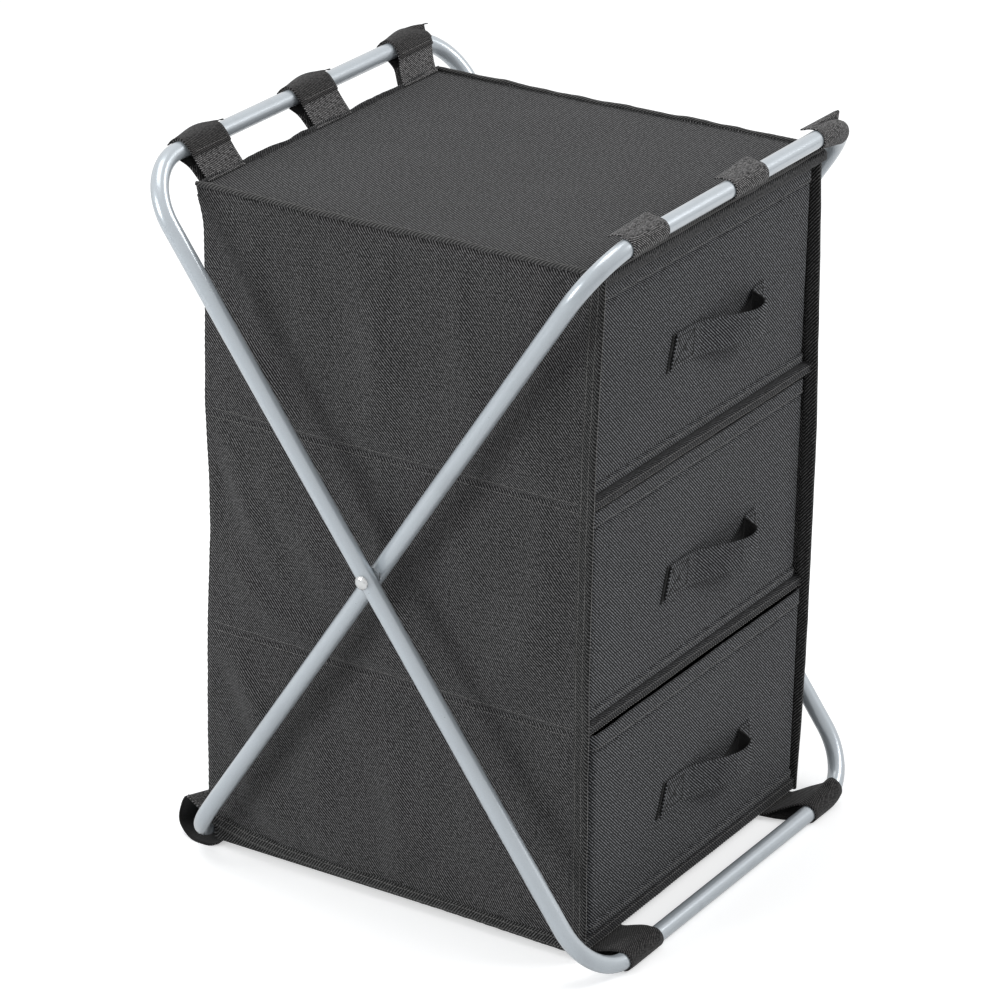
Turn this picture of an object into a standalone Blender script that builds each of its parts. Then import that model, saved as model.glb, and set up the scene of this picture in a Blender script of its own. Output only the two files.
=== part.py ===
"""Fabric drawer tower hung in a folding frame of two crossed tube loops.

Metres, +Z up. The front faces -Y. The origin is on the floor, under the frame's pivot.
"""
from math import asin, atan2, ceil, cos, floor, pi, radians, sin, sqrt

import bmesh
import bpy
from mathutils import Vector

# Running gap between neighbours
CLEARANCE = 0.0003

# Fabric cabinet, measured over its panels
CABINET_WIDTH = 0.3466
CABINET_DEPTH = 0.378
CABINET_HEIGHT = 0.598
CABINET_LEAN = 0.022
PANEL_THICKNESS = 0.002
TOP_THICKNESS = 0.010
BOTTOM_THICKNESS = 0.0128
SHELF_THICKNESS = 0.009
SHELF_SETBACK = 0.0035
LOWER_SHELF_RISE = 0.1995
UPPER_SHELF_RISE = 0.3985
COVER_THICKNESS = 0.0012
NOSE_RADIUS = 0.0025
NOSE_STEPS = 3
BINDING_DEPTH = 0.012
BINDING_THICKNESS = 0.0009
PIPING_RADIUS = 0.0022
PIPING_CORNER_RADIUS = 0.008
PIPING_CORNER_STEPS = 5
PIPING_BACK_INSET = 0.014

# Soft side panels: they belly out between the shelf seams
PANEL_BULGE = 0.0068
PANEL_FOLD = 0.0013
PANEL_FLAT_MARGIN = 0.015
PANEL_COLUMNS = 12
PANEL_ROWS_PER_BAY = 6

# Frame: two closed loops of round tube, crossed and riveted at mid leg
TUBE_RADIUS = 0.0075
BEND_RADIUS = 0.052
FRAME_SIDE_GAP = 0.0164
LEG_GAP = 0.0015
FRONT_BAR_GAP = 0.028
BACK_BAR_GAP = 0.005
TOP_BAR_RISE = 0.024
TUBE_SIDES = 16
BEND_STEPS = 8

# Pivot rivets and the washers between the legs
RIVET_RADIUS = 0.0028
RIVET_HOLE_PLAY = 0.0003
RIVET_HEAD_RADIUS = 0.0062
RIVET_HEAD_HEIGHT = 0.0026
RIVET_TAIL_RADIUS = 0.0048
RIVET_TAIL_HEIGHT = 0.0015
WASHER_RADIUS = 0.0068
TURNED_SIDES = 20
DOME_STEPS = 5

# Straps that tie the cabinet to the four bars
STRAP_THICKNESS = 0.0012
STRAP_WIDTH = 0.049
STRAP_LEFT_INSET = 0.0133
STRAP_RIGHT_INSET = 0.0055
BACK_STRAP_INSET = 0.0083
STRAP_MIDDLE_X = 0.0145
OUTER_BAR_SKEW = 0.0165
INNER_BAR_SKEW = 0.010
BACK_BAR_SKEW = 0.001
BAR_SLIDE_ROOM = 0.0008
STRAP_STATIONS = 5
WRAP_STEP = radians(22.5)
TOP_STRAP_LAP = 0.006
TOP_STRAP_SETBACK = 0.008
TOP_STRAP_DROP = 0.004
FRONT_STRAP_RISE = 0.0085
FRONT_STRAP_TAIL_RISE = 0.003
BACK_STRAP_RISE = 0.045
BACK_STRAP_TAIL_RISE = 0.020

# Drawers
DRAWER_SIDE_GAP = 0.004
DRAWER_TOP_GAP = 0.004
DRAWER_FLOOR_GAP = 0.0008
DRAWER_BACK_ROOM = 0.018
DRAWER_WALL = 0.0022
DRAWER_CORNER_RADIUS = 0.009
DRAWER_CORNER_STEPS = 5
DRAWER_BOARD_THICKNESS = 0.0025
DRAWER_BOARD_TOP_GAP = 0.004
DRAWER_BASE_THICKNESS = 0.002
DRAWER_SETBACKS = {"bottom": 0.0004, "middle": 0.0074, "top": 0.0092}

# Handle straps sewn to the drawer fronts
HANDLE_LENGTH = 0.142
HANDLE_HEIGHT = 0.028
HANDLE_THICKNESS = 0.002
HANDLE_PATCH = 0.032
HANDLE_RAMP = 0.024
HANDLE_STANDOFF = 0.016
HANDLE_RAMP_STEPS = 6
HANDLE_SAG = 0.006
HANDLE_SHIFTS = {"bottom": (0.0145, -0.0136), "middle": (0.0205, -0.0152), "top": (0.0195, -0.0052)}

# Values that follow from the sizes above
CABINET_HALF_WIDTH = CABINET_WIDTH / 2
INNER_HALF_WIDTH = CABINET_HALF_WIDTH - PANEL_THICKNESS
INNER_LOOP_HALF_WIDTH = CABINET_HALF_WIDTH + FRAME_SIDE_GAP + TUBE_RADIUS
OUTER_LOOP_HALF_WIDTH = INNER_LOOP_HALF_WIDTH + 2 * TUBE_RADIUS + LEG_GAP
BAR_REACH = (CABINET_DEPTH + FRONT_BAR_GAP + BACK_BAR_GAP) / 2 + TUBE_RADIUS
STRAP_INNER_RADIUS = TUBE_RADIUS + CLEARANCE
STRAP_OUTER_RADIUS = STRAP_INNER_RADIUS + STRAP_THICKNESS
LOW_BAR_Z = STRAP_OUTER_RADIUS
# The bottom panel's top is just above the wrapped front bar, so that the drawer slides over it
CABINET_BOTTOM_Z = LOW_BAR_Z + STRAP_OUTER_RADIUS + BAR_SLIDE_ROOM - BOTTOM_THICKNESS
CABINET_TOP_Z = CABINET_BOTTOM_Z + CABINET_HEIGHT
CABINET_FRONT_Y = TUBE_RADIUS + FRONT_BAR_GAP - BAR_REACH
HIGH_BAR_Z = CABINET_TOP_Z + TOP_BAR_RISE
PIVOT_Z = (LOW_BAR_Z + HIGH_BAR_Z) / 2
HALF_BAR_RISE = (HIGH_BAR_Z - LOW_BAR_Z) / 2
LEG_HALF_LENGTH = sqrt(BAR_REACH ** 2 + HALF_BAR_RISE ** 2)
TOP_UNDERSIDE_Z = CABINET_TOP_Z - TOP_THICKNESS
LOWER_SHELF_Z = CABINET_BOTTOM_Z + LOWER_SHELF_RISE
UPPER_SHELF_Z = CABINET_BOTTOM_Z + UPPER_SHELF_RISE
LEFT_COLUMN_X = STRAP_LEFT_INSET + STRAP_WIDTH / 2 - CABINET_HALF_WIDTH
RIGHT_COLUMN_X = CABINET_HALF_WIDTH - STRAP_WIDTH / 2 - STRAP_RIGHT_INSET
BACK_COLUMN_X = CABINET_HALF_WIDTH - STRAP_WIDTH / 2 - BACK_STRAP_INSET
DRAWER_DEPTH = CABINET_DEPTH - DRAWER_BACK_ROOM
BAYS = {
    "bottom": (CABINET_BOTTOM_Z + BOTTOM_THICKNESS, LOWER_SHELF_Z),
    "middle": (LOWER_SHELF_Z + SHELF_THICKNESS, UPPER_SHELF_Z),
    "top": (UPPER_SHELF_Z + SHELF_THICKNESS, TOP_UNDERSIDE_Z),
}


def clear_scene():
    """Remove whatever objects the file holds."""
    for old in list(bpy.data.objects):
        bpy.data.objects.remove(old, do_unlink=True)


def make_material(name, colour, roughness, metallic=0.0):
    """A plain Principled material."""
    material = bpy.data.materials.new(name)
    material.use_nodes = True
    shader = material.node_tree.nodes["Principled BSDF"]
    shader.inputs["Base Color"].default_value = (*colour, 1.0)
    shader.inputs["Roughness"].default_value = roughness
    shader.inputs["Metallic"].default_value = metallic
    return material


def frame_paint():
    """Satin silver-grey paint of the tubes."""
    return make_material("frame_paint", (0.55, 0.60, 0.64), 0.35, 0.6)


def rivet_steel():
    """Bright zinc-plated steel."""
    return make_material("rivet_steel", (0.78, 0.79, 0.80), 0.25, 1.0)


def cabinet_fabric():
    """Charcoal twill of the cabinet."""
    return make_material("cabinet_fabric", (0.038, 0.037, 0.037), 0.9)


def drawer_fabric():
    """Slightly lighter and cooler twill of the drawers."""
    return make_material("drawer_fabric", (0.058, 0.060, 0.066), 0.9)


def strap_fabric():
    """Webbing of the straps and bindings."""
    return make_material("strap_fabric", (0.045, 0.044, 0.046), 0.95)


def grey_board():
    """Grey fibreboard of the stiffeners."""
    return make_material("grey_board", (0.35, 0.31, 0.26), 0.95)


def object_from_bmesh(name, bm, material, smooth=True):
    """Turn a closed bmesh into a linked object with outward faces."""
    bmesh.ops.recalc_face_normals(bm, faces=bm.faces)
    mesh = bpy.data.meshes.new(name)
    bm.to_mesh(mesh)
    bm.free()
    mesh.materials.append(material)
    if smooth:
        mesh.shade_smooth()
        mesh.set_sharp_from_angle(angle=radians(40))
    thing = bpy.data.objects.new(name, mesh)
    bpy.context.collection.objects.link(thing)
    return thing


def slab(name, front, back, material, smooth=True):
    """Closed sheet between two grids of points, front[i][j] over back[i][j]."""
    bm = bmesh.new()
    rows = len(front)
    columns = len(front[0])
    top = [[bm.verts.new(point) for point in row] for row in front]
    under = [[bm.verts.new(point) for point in row] for row in back]
    for i in range(rows - 1):
        for j in range(columns - 1):
            bm.faces.new((top[i][j], top[i][j + 1], top[i + 1][j + 1], top[i + 1][j]))
            bm.faces.new((under[i][j], under[i + 1][j], under[i + 1][j + 1], under[i][j + 1]))
        bm.faces.new((top[i][0], top[i + 1][0], under[i + 1][0], under[i][0]))
        bm.faces.new((top[i][-1], under[i][-1], under[i + 1][-1], top[i + 1][-1]))
    for j in range(columns - 1):
        bm.faces.new((top[0][j], under[0][j], under[0][j + 1], top[0][j + 1]))
        bm.faces.new((top[-1][j], top[-1][j + 1], under[-1][j + 1], under[-1][j]))
    return object_from_bmesh(name, bm, material, smooth)


def loft(name, rings, material, smooth=True, closed=False):
    """Loft through rings of equal length, capped at both ends or closed on itself."""
    bm = bmesh.new()
    loops = [[bm.verts.new(point) for point in ring] for ring in rings]
    pairs = list(zip(loops, loops[1:]))
    if closed:
        pairs.append((loops[-1], loops[0]))
    else:
        bm.faces.new(list(reversed(loops[0])))
        bm.faces.new(loops[-1])
    for low, high in pairs:
        for k in range(len(low)):
            following = (k + 1) % len(low)
            bm.faces.new((low[k], low[following], high[following], high[k]))
    return object_from_bmesh(name, bm, material, smooth)


def offset_line(points, distance):
    """Mitred parallel of a flat open line, to its left for a positive distance."""
    shifted = []
    last = len(points) - 1
    for k, point in enumerate(points):
        before = (points[k] - points[k - 1]).normalized() if k > 0 else None
        after = (points[k + 1] - points[k]).normalized() if k < last else None
        before = before or after
        after = after or before
        left_before = Vector((-before.y, before.x))
        left_after = Vector((-after.y, after.x))
        mitre = (left_before + left_after) / (1 + left_before.dot(left_after))
        shifted.append(point + mitre * distance)
    return shifted


def rounded_rectangle(half_x, low_y, high_y, radius, z, steps):
    """Level ring with round corners."""
    middle_y = (low_y + high_y) / 2
    half_y = (high_y - low_y) / 2
    ring = []
    for corner in range(4):
        start = corner * pi / 2
        centre_x = (half_x - radius) * (1 if corner in (0, 3) else -1)
        centre_y = middle_y + (half_y - radius) * (1 if corner < 2 else -1)
        for k in range(steps + 1):
            angle = start + (pi / 2) * k / steps
            ring.append((centre_x + radius * cos(angle), centre_y + radius * sin(angle), z))
    return ring


def box(name, low, high, material):
    """Straight-sided board between two corners."""
    ring = [(low[0], low[1]), (high[0], low[1]), (high[0], high[1]), (low[0], high[1])]
    rings = [[(x, y, z) for x, y in ring] for z in (low[2], high[2])]
    return loft(name, rings, material, smooth=False)


def loop_path(half_width):
    """Stations of a closed loop: across X, along the leg, and the outward direction there."""
    bend = [k * (pi / 2) / BEND_STEPS for k in range(BEND_STEPS + 1)]
    stations = []
    for across_sign, along_sign in ((1, 1), (1, -1), (-1, -1), (-1, 1)):
        angles = bend if across_sign == along_sign else reversed(bend)
        for angle in angles:
            across = half_width - BEND_RADIUS + BEND_RADIUS * sin(angle)
            along = LEG_HALF_LENGTH - BEND_RADIUS + BEND_RADIUS * cos(angle)
            outward = (across_sign * sin(angle), along_sign * cos(angle))
            stations.append((across_sign * across, along_sign * along, outward))
    return stations


def tube_loop(name, half_width, top_bar_side, material):
    """One closed loop of round tube about the pivot, its top bar on the given side of Y."""
    leg = Vector((0, top_bar_side * BAR_REACH, HALF_BAR_RISE)).normalized()
    side = Vector((1, 0, 0))
    normal = side.cross(leg)
    rings = []
    for across, along, outward in loop_path(half_width):
        centre = side * across + leg * along
        radial = side * outward[0] + leg * outward[1]
        angles = [2 * pi * (k + 0.5) / TUBE_SIDES for k in range(TUBE_SIDES)]
        rings.append([centre + TUBE_RADIUS * (cos(a) * radial + sin(a) * normal) for a in angles])
    return loft(name, rings, material, closed=True)


def rivet_hole_cutter(name):
    """Rod along the pivot axis that drills both legs of a loop."""
    bpy.ops.mesh.primitive_cylinder_add(
        vertices=TURNED_SIDES, radius=RIVET_RADIUS + RIVET_HOLE_PLAY,
        depth=3 * OUTER_LOOP_HALF_WIDTH, rotation=(0, pi / 2, 0))
    rod = bpy.context.object
    rod.name = name
    rod.hide_render = True
    rod.display_type = "WIRE"
    return rod


def build_frame():
    """Both loops, drilled at the crossing, each on an empty that stands on the pivot axis."""
    paint = frame_paint()
    for name, half_width, top_bar_side in (
            ("frame_a_tube", OUTER_LOOP_HALF_WIDTH, 1), ("frame_b_tube", INNER_LOOP_HALF_WIDTH, -1)):
        pivot = bpy.data.objects.new(name + "_axis", None)
        pivot.location = (0, 0, PIVOT_Z)
        bpy.context.collection.objects.link(pivot)
        loop = tube_loop(name, half_width, top_bar_side, paint)
        cutter = rivet_hole_cutter(name + "_drill")
        loop.parent = pivot
        cutter.parent = pivot
        drill = loop.modifiers.new("rivet_holes", "BOOLEAN")
        drill.operation = "DIFFERENCE"
        drill.solver = "EXACT"
        drill.object = cutter


def turned_ring(distance, radius):
    """Ring about the pivot axis at a distance from the middle."""
    angles = [2 * pi * k / TURNED_SIDES for k in range(TURNED_SIDES)]
    return [(distance, radius * cos(a), PIVOT_Z + radius * sin(a)) for a in angles]


def build_rivet(name, side_sign, material):
    """Tail, shank and domed head of the rivet that joins both legs on one side."""
    tail = INNER_LOOP_HALF_WIDTH - TUBE_RADIUS - CLEARANCE
    seat = OUTER_LOOP_HALF_WIDTH + TUBE_RADIUS + CLEARANCE
    profile = [
        (tail - RIVET_TAIL_HEIGHT, (RIVET_RADIUS + RIVET_TAIL_RADIUS) / 2),
        (tail - RIVET_TAIL_HEIGHT / 2, RIVET_TAIL_RADIUS),
        (tail, RIVET_TAIL_RADIUS),
        (tail, RIVET_RADIUS),
        (seat, RIVET_RADIUS),
    ]
    for k in range(DOME_STEPS):
        angle = (pi / 2) * k / DOME_STEPS
        profile.append((seat + RIVET_HEAD_HEIGHT * sin(angle), RIVET_HEAD_RADIUS * cos(angle)))
    rings = [turned_ring(side_sign * distance, radius) for distance, radius in profile]
    return loft(name, rings, material)


def build_washer(name, side_sign, material):
    """Flat washer on the rivet's shank, between the legs."""
    near = side_sign * (INNER_LOOP_HALF_WIDTH + TUBE_RADIUS + CLEARANCE)
    far = side_sign * (OUTER_LOOP_HALF_WIDTH - TUBE_RADIUS - CLEARANCE)
    bore = RIVET_RADIUS + RIVET_HOLE_PLAY
    corners = ((near, bore), (near, WASHER_RADIUS), (far, WASHER_RADIUS), (far, bore))
    return loft(name, [turned_ring(x, radius) for x, radius in corners], material, closed=True)


def build_pivots():
    """A rivet and a washer at each leg crossing."""
    steel = rivet_steel()
    for side, side_sign in (("left", -1), ("right", 1)):
        build_rivet("pivot_rivet_" + side, side_sign, steel)
        build_washer("pivot_washer_" + side, side_sign, steel)


def front_y(z):
    """Front plane of the cabinet, which leans forward with height."""
    return CABINET_FRONT_Y - CABINET_LEAN * (z - CABINET_BOTTOM_Z) / CABINET_HEIGHT


def back_y(z):
    """Back plane of the cabinet."""
    return front_y(z) + CABINET_DEPTH


def ease(value):
    """Ease from 0 to 1."""
    t = min(max(value, 0.0), 1.0)
    return t * t * (3 - 2 * t)


def panel_parts():
    """Shares of the depth where a side panel has its columns, with a flat margin at both ends."""
    margin = PANEL_FLAT_MARGIN / CABINET_DEPTH
    spans = PANEL_COLUMNS - 2
    return [0.0] + [margin + (1 - 2 * margin) * k / spans for k in range(spans + 1)] + [1.0]


def panel_swell(y_part, bay_part, bay_number):
    """How far a side panel stands out: zero at its seams and near its front and back edges."""
    room = CABINET_DEPTH * min(y_part, 1 - y_part)
    edge = ease((room - PANEL_FLAT_MARGIN) / (3 * PANEL_FLAT_MARGIN))
    belly = sin(pi * bay_part) * edge
    ripple = sin(2 * pi * (2.3 * y_part + 0.9 * bay_part + 0.37 * bay_number))
    return belly * (PANEL_BULGE + PANEL_FOLD * ripple)


def side_panel(name, side_sign, material):
    """Soft side panel: a leaning sheet that bellies out in each bay."""
    seams = [CABINET_BOTTOM_Z, LOWER_SHELF_Z + SHELF_THICKNESS / 2,
             UPPER_SHELF_Z + SHELF_THICKNESS / 2, CABINET_TOP_Z]
    outer = []
    inner = []
    for bay_number, (low, high) in enumerate(zip(seams, seams[1:])):
        for row in range(0 if bay_number == 0 else 1, PANEL_ROWS_PER_BAY + 1):
            bay_part = row / PANEL_ROWS_PER_BAY
            z = low + (high - low) * bay_part
            swell = [panel_swell(part, bay_part, bay_number) for part in panel_parts()]
            ys = [front_y(z) + CABINET_DEPTH * part for part in panel_parts()]
            outer.append([(side_sign * (CABINET_HALF_WIDTH + s), y, z) for s, y in zip(swell, ys)])
            inner.append([(side_sign * (INNER_HALF_WIDTH + s), y, z) for s, y in zip(swell, ys)])
    return slab(name, outer, inner, material)


def back_panel(material):
    """Flat leaning sheet between the side panels."""
    half = INNER_HALF_WIDTH - CLEARANCE
    rows = (CABINET_BOTTOM_Z, CABINET_TOP_Z)
    outer = [[(x, back_y(z), z) for x in (-half, half)] for z in rows]
    inner = [[(x, back_y(z) - PANEL_THICKNESS, z) for x in (-half, half)] for z in rows]
    return slab("back_panel", outer, inner, material, smooth=False)


def shelf_sleeve(name, low_z, thickness, setback, material):
    """Fabric sleeve of a shelf: folded over the front edge and open at the back."""
    front = front_y(low_z) + setback
    back = back_y(low_z + thickness) - PANEL_THICKNESS - CLEARANCE
    high_z = low_z + thickness
    line = [Vector((back, high_z))]
    for centre_z, start in ((high_z - NOSE_RADIUS, pi / 2), (low_z + NOSE_RADIUS, pi)):
        for k in range(NOSE_STEPS + 1):
            angle = start + (pi / 2) * k / NOSE_STEPS
            y = front + NOSE_RADIUS + NOSE_RADIUS * cos(angle)
            line.append(Vector((y, centre_z + NOSE_RADIUS * sin(angle))))
    line.append(Vector((back, low_z)))
    outline = line + list(reversed(offset_line(line, COVER_THICKNESS)))
    half = INNER_HALF_WIDTH - CLEARANCE
    return loft(name, [[(x, y, z) for y, z in outline] for x in (-half, half)], material)


def shelf_board(name, low_z, thickness, setback, material):
    """Stiff board inside a shelf's sleeve."""
    inset = COVER_THICKNESS + CLEARANCE
    half = INNER_HALF_WIDTH - CLEARANCE
    front = front_y(low_z) + setback + NOSE_RADIUS
    back = back_y(low_z + thickness) - PANEL_THICKNESS - CLEARANCE
    low = (-half, front, low_z + inset)
    high = (half, back, low_z + thickness - inset)
    return box(name, low, high, material)


def front_binding(name, side_sign, material):
    """Folded strip over the front edge of a side panel."""
    inner = CABINET_HALF_WIDTH + CLEARANCE
    outer = inner + BINDING_THICKNESS
    rings = []
    for z in (CABINET_BOTTOM_Z, CABINET_TOP_Z):
        panel_y = front_y(z)
        seat_y = panel_y - CLEARANCE
        face_y = seat_y - BINDING_THICKNESS
        end_y = panel_y + BINDING_DEPTH
        outline = ((INNER_HALF_WIDTH, face_y), (outer, face_y), (outer, end_y),
                   (inner, end_y), (inner, seat_y), (INNER_HALF_WIDTH, seat_y))
        rings.append([(side_sign * x, y, z) for x, y in outline])
    return loft(name, rings, material, smooth=False)


def piping_route():
    """Left edge, front edge and right edge of the top, with round front corners."""
    z = CABINET_TOP_Z + CLEARANCE + PIPING_RADIUS
    side_x = CABINET_HALF_WIDTH - PANEL_THICKNESS / 2
    front = front_y(TOP_UNDERSIDE_Z) + PIPING_RADIUS
    back = back_y(CABINET_TOP_Z) - PIPING_BACK_INSET
    arc = [(pi / 2) * k / PIPING_CORNER_STEPS for k in range(PIPING_CORNER_STEPS + 1)]
    corner_x = side_x - PIPING_CORNER_RADIUS
    corner_y = front + PIPING_CORNER_RADIUS
    left = [(-corner_x - PIPING_CORNER_RADIUS * cos(a), corner_y - PIPING_CORNER_RADIUS * sin(a), z)
            for a in arc]
    right = [(-x, y, z) for x, y, z in reversed(left)]
    return [(-side_x, back, z)] + left + right + [(side_x, back, z)]


def top_edge_piping(material):
    """Soft round piping along three edges of the top."""
    curve = bpy.data.curves.new("top_edge_piping", "CURVE")
    curve.dimensions = "3D"
    curve.bevel_depth = PIPING_RADIUS
    curve.bevel_resolution = 2
    curve.use_fill_caps = True
    route = piping_route()
    spline = curve.splines.new("POLY")
    spline.points.add(len(route) - 1)
    for point, place in zip(spline.points, route):
        point.co = (*place, 1.0)
    curve.materials.append(material)
    thing = bpy.data.objects.new("top_edge_piping", curve)
    bpy.context.collection.objects.link(thing)


def build_cabinet():
    """Side, back, top and bottom panels, two shelves and the trim of the fabric cabinet."""
    fabric = cabinet_fabric()
    trim = strap_fabric()
    board = grey_board()
    for side, side_sign in (("left", -1), ("right", 1)):
        side_panel("side_panel_" + side, side_sign, fabric)
        front_binding("front_binding_" + side, side_sign, trim)
    back_panel(fabric)
    for name, low_z, thickness, setback in (
            ("bottom", CABINET_BOTTOM_Z, BOTTOM_THICKNESS, 0.0),
            ("lower_shelf", LOWER_SHELF_Z, SHELF_THICKNESS, SHELF_SETBACK),
            ("upper_shelf", UPPER_SHELF_Z, SHELF_THICKNESS, SHELF_SETBACK),
            ("top", TOP_UNDERSIDE_Z, TOP_THICKNESS, 0.0)):
        shelf_sleeve(name + "_cover", low_z, thickness, setback, fabric)
        shelf_board(name + "_board", low_z, thickness, setback, board)
    top_edge_piping(trim)


def bar_section(half_width, high, x):
    """Where a front bar and its bends pass one X: centre, leg direction and slope of the tube."""
    past_bend = max(abs(x) - (half_width - BEND_RADIUS), 0.0)
    slope = asin(min(past_bend / BEND_RADIUS, 0.95))
    drop = BEND_RADIUS * (1 - cos(slope))
    rise = HALF_BAR_RISE if high else -HALF_BAR_RISE
    leg = Vector((-BAR_REACH, rise)).normalized()
    centre = Vector((0, PIVOT_Z)) + leg * (LEG_HALF_LENGTH - drop)
    return centre, leg, slope


def facet_distance(leg, slope, angle):
    """Distance of a strap facet from the bar's centre, where the section is an ellipse."""
    along = STRAP_INNER_RADIUS / cos(slope)
    turn = angle - atan2(leg.y, leg.x)
    return sqrt((along * cos(turn)) ** 2 + (STRAP_INNER_RADIUS * sin(turn)) ** 2)


def wrap_corner(centre, leg, slope, number):
    """Corner between two neighbouring facets of a strap round the bar."""
    first = number * WRAP_STEP
    second = first + WRAP_STEP
    near = facet_distance(leg, slope, first)
    far = facet_distance(leg, slope, second)
    x = (near * sin(second) - far * sin(first)) / sin(WRAP_STEP)
    y = (far * cos(first) - near * cos(second)) / sin(WRAP_STEP)
    return centre + Vector((x, y))


def wrap_numbers(centre, start, end):
    """Corners that a strap turns round, from where it meets the bar to where it leaves."""
    inward = centre - start
    outward = centre - end
    meets = atan2(inward.y, inward.x) - asin(STRAP_INNER_RADIUS / inward.length) - pi / 2
    leaves = atan2(outward.y, outward.x) + asin(STRAP_INNER_RADIUS / outward.length) + pi / 2
    sweep = (leaves - meets) % (2 * pi)
    first = ceil(meets / WRAP_STEP - 1)
    last = floor((meets + sweep) / WRAP_STEP)
    return range(first, last + 1)


def strap(name, root, tail, half_width, high, side_sign, root_x, skew, material):
    """Band sewn to the cabinet at its root and tail and wrapped round a bar between them.

    Root and tail are (y, z) points as on the front of the cabinet, and a negative side_sign turns
    them to its back.
    """
    straight_bar = bar_section(half_width, high, 0.0)[0]
    numbers = wrap_numbers(straight_bar, root[-1], tail[0])
    under = []
    over = []
    for k in range(STRAP_STATIONS):
        shift = STRAP_WIDTH * (k / (STRAP_STATIONS - 1) - 0.5)
        bar_x = root_x + skew + shift
        centre, leg, slope = bar_section(half_width, high, bar_x)
        corners = [wrap_corner(centre, leg, slope, number) for number in numbers]
        line = root + corners + tail
        xs = [root_x + shift] * len(root) + [bar_x] * len(corners) + [root_x + shift] * len(tail)
        outside = offset_line(line, -STRAP_THICKNESS)
        under.append([(x, side_sign * p.x, p.y) for x, p in zip(xs, line)])
        over.append([(x, side_sign * p.x, p.y) for x, p in zip(xs, outside)])
    return slab(name, under, over, material)


def top_strap_ends(edge_y, setback):
    """Root lapped on the top panel, and tail on the upright face under its edge."""
    lap_z = CABINET_TOP_Z + CLEARANCE
    root = [Vector((edge_y + setback + TOP_STRAP_LAP, lap_z)), Vector((edge_y + setback, lap_z))]
    tail = [Vector((edge_y - CLEARANCE, CABINET_TOP_Z - TOP_STRAP_DROP))]
    return root, tail


def front_strap_ends():
    """Root and tail one above the other on the bottom panel's front edge."""
    edge_y = front_y(CABINET_BOTTOM_Z) - CLEARANCE
    root = [Vector((edge_y, CABINET_BOTTOM_Z + FRONT_STRAP_RISE))]
    tail = [Vector((edge_y, CABINET_BOTTOM_Z + FRONT_STRAP_TAIL_RISE))]
    return root, tail


def back_strap_ends():
    """Root lapped up the back panel above the bar, and tail in the gap before the bar."""
    root_z = CABINET_BOTTOM_Z + BACK_STRAP_RISE
    lap_z = root_z + TOP_STRAP_LAP
    tail_z = CABINET_BOTTOM_Z + BACK_STRAP_TAIL_RISE
    tail_y = -back_y(tail_z) - CLEARANCE - STRAP_THICKNESS
    root = [Vector((-back_y(lap_z) - CLEARANCE, lap_z)), Vector((-back_y(root_z) - CLEARANCE, root_z))]
    return root, [Vector((tail_y, tail_z))]


def build_straps():
    """Three straps on each top bar and two on each bottom bar."""
    webbing = strap_fabric()
    outer = OUTER_LOOP_HALF_WIDTH
    inner = INNER_LOOP_HALF_WIDTH
    front_top = top_strap_ends(front_y(TOP_UNDERSIDE_Z), 2 * PIPING_RADIUS + TOP_STRAP_SETBACK)
    back_top = top_strap_ends(-back_y(CABINET_TOP_Z), 0.0)
    left = (LEFT_COLUMN_X, 0.0)
    middle = (STRAP_MIDDLE_X, 0.0)
    inner_right = (RIGHT_COLUMN_X, INNER_BAR_SKEW)
    outer_right = (RIGHT_COLUMN_X, OUTER_BAR_SKEW)
    back_left = (-BACK_COLUMN_X, -BACK_BAR_SKEW)
    back_right = (BACK_COLUMN_X, BACK_BAR_SKEW)
    front_low = front_strap_ends()
    back_low = back_strap_ends()
    rows = (
        ("strap_top_front", front_top, inner, True, 1, {"left": left, "middle": middle, "right": inner_right}),
        ("strap_top_back", back_top, outer, True, -1, {"left": left, "middle": middle, "right": outer_right}),
        ("strap_bottom_front", front_low, outer, False, 1, {"left": left, "right": outer_right}),
        ("strap_bottom_back", back_low, inner, False, -1, {"left": back_left, "right": back_right}),
    )
    for name, (root, tail), half_width, high, side_sign, columns in rows:
        for column, (root_x, skew) in columns.items():
            strap(name + "_" + column, root, tail, half_width, high, side_sign, root_x, skew, webbing)


def drawer_lean(low_z, z):
    """How far a drawer stands forward at a height, because it leans with the cabinet."""
    return -CABINET_LEAN * (z - low_z) / CABINET_HEIGHT


def drawer_ring(half, front, low_z, inset, radius, z):
    """Level section of a leaning drawer, inset from its outside."""
    near = front + inset + drawer_lean(low_z, z)
    far = front + DRAWER_DEPTH - inset + drawer_lean(low_z, z)
    return rounded_rectangle(half - inset, near, far, radius, z, DRAWER_CORNER_STEPS)


def drawer_shell(name, half, front, low_z, high_z, material):
    """Open fabric box with rounded upright corners."""
    inner_radius = DRAWER_CORNER_RADIUS - DRAWER_WALL
    floor_z = low_z + DRAWER_WALL
    rings = [
        drawer_ring(half, front, low_z, 0.0, DRAWER_CORNER_RADIUS, low_z),
        drawer_ring(half, front, low_z, 0.0, DRAWER_CORNER_RADIUS, high_z),
        drawer_ring(half, front, low_z, DRAWER_WALL, inner_radius, high_z),
        drawer_ring(half, front, low_z, DRAWER_WALL, inner_radius, floor_z),
    ]
    return loft(name, rings, material)


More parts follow.
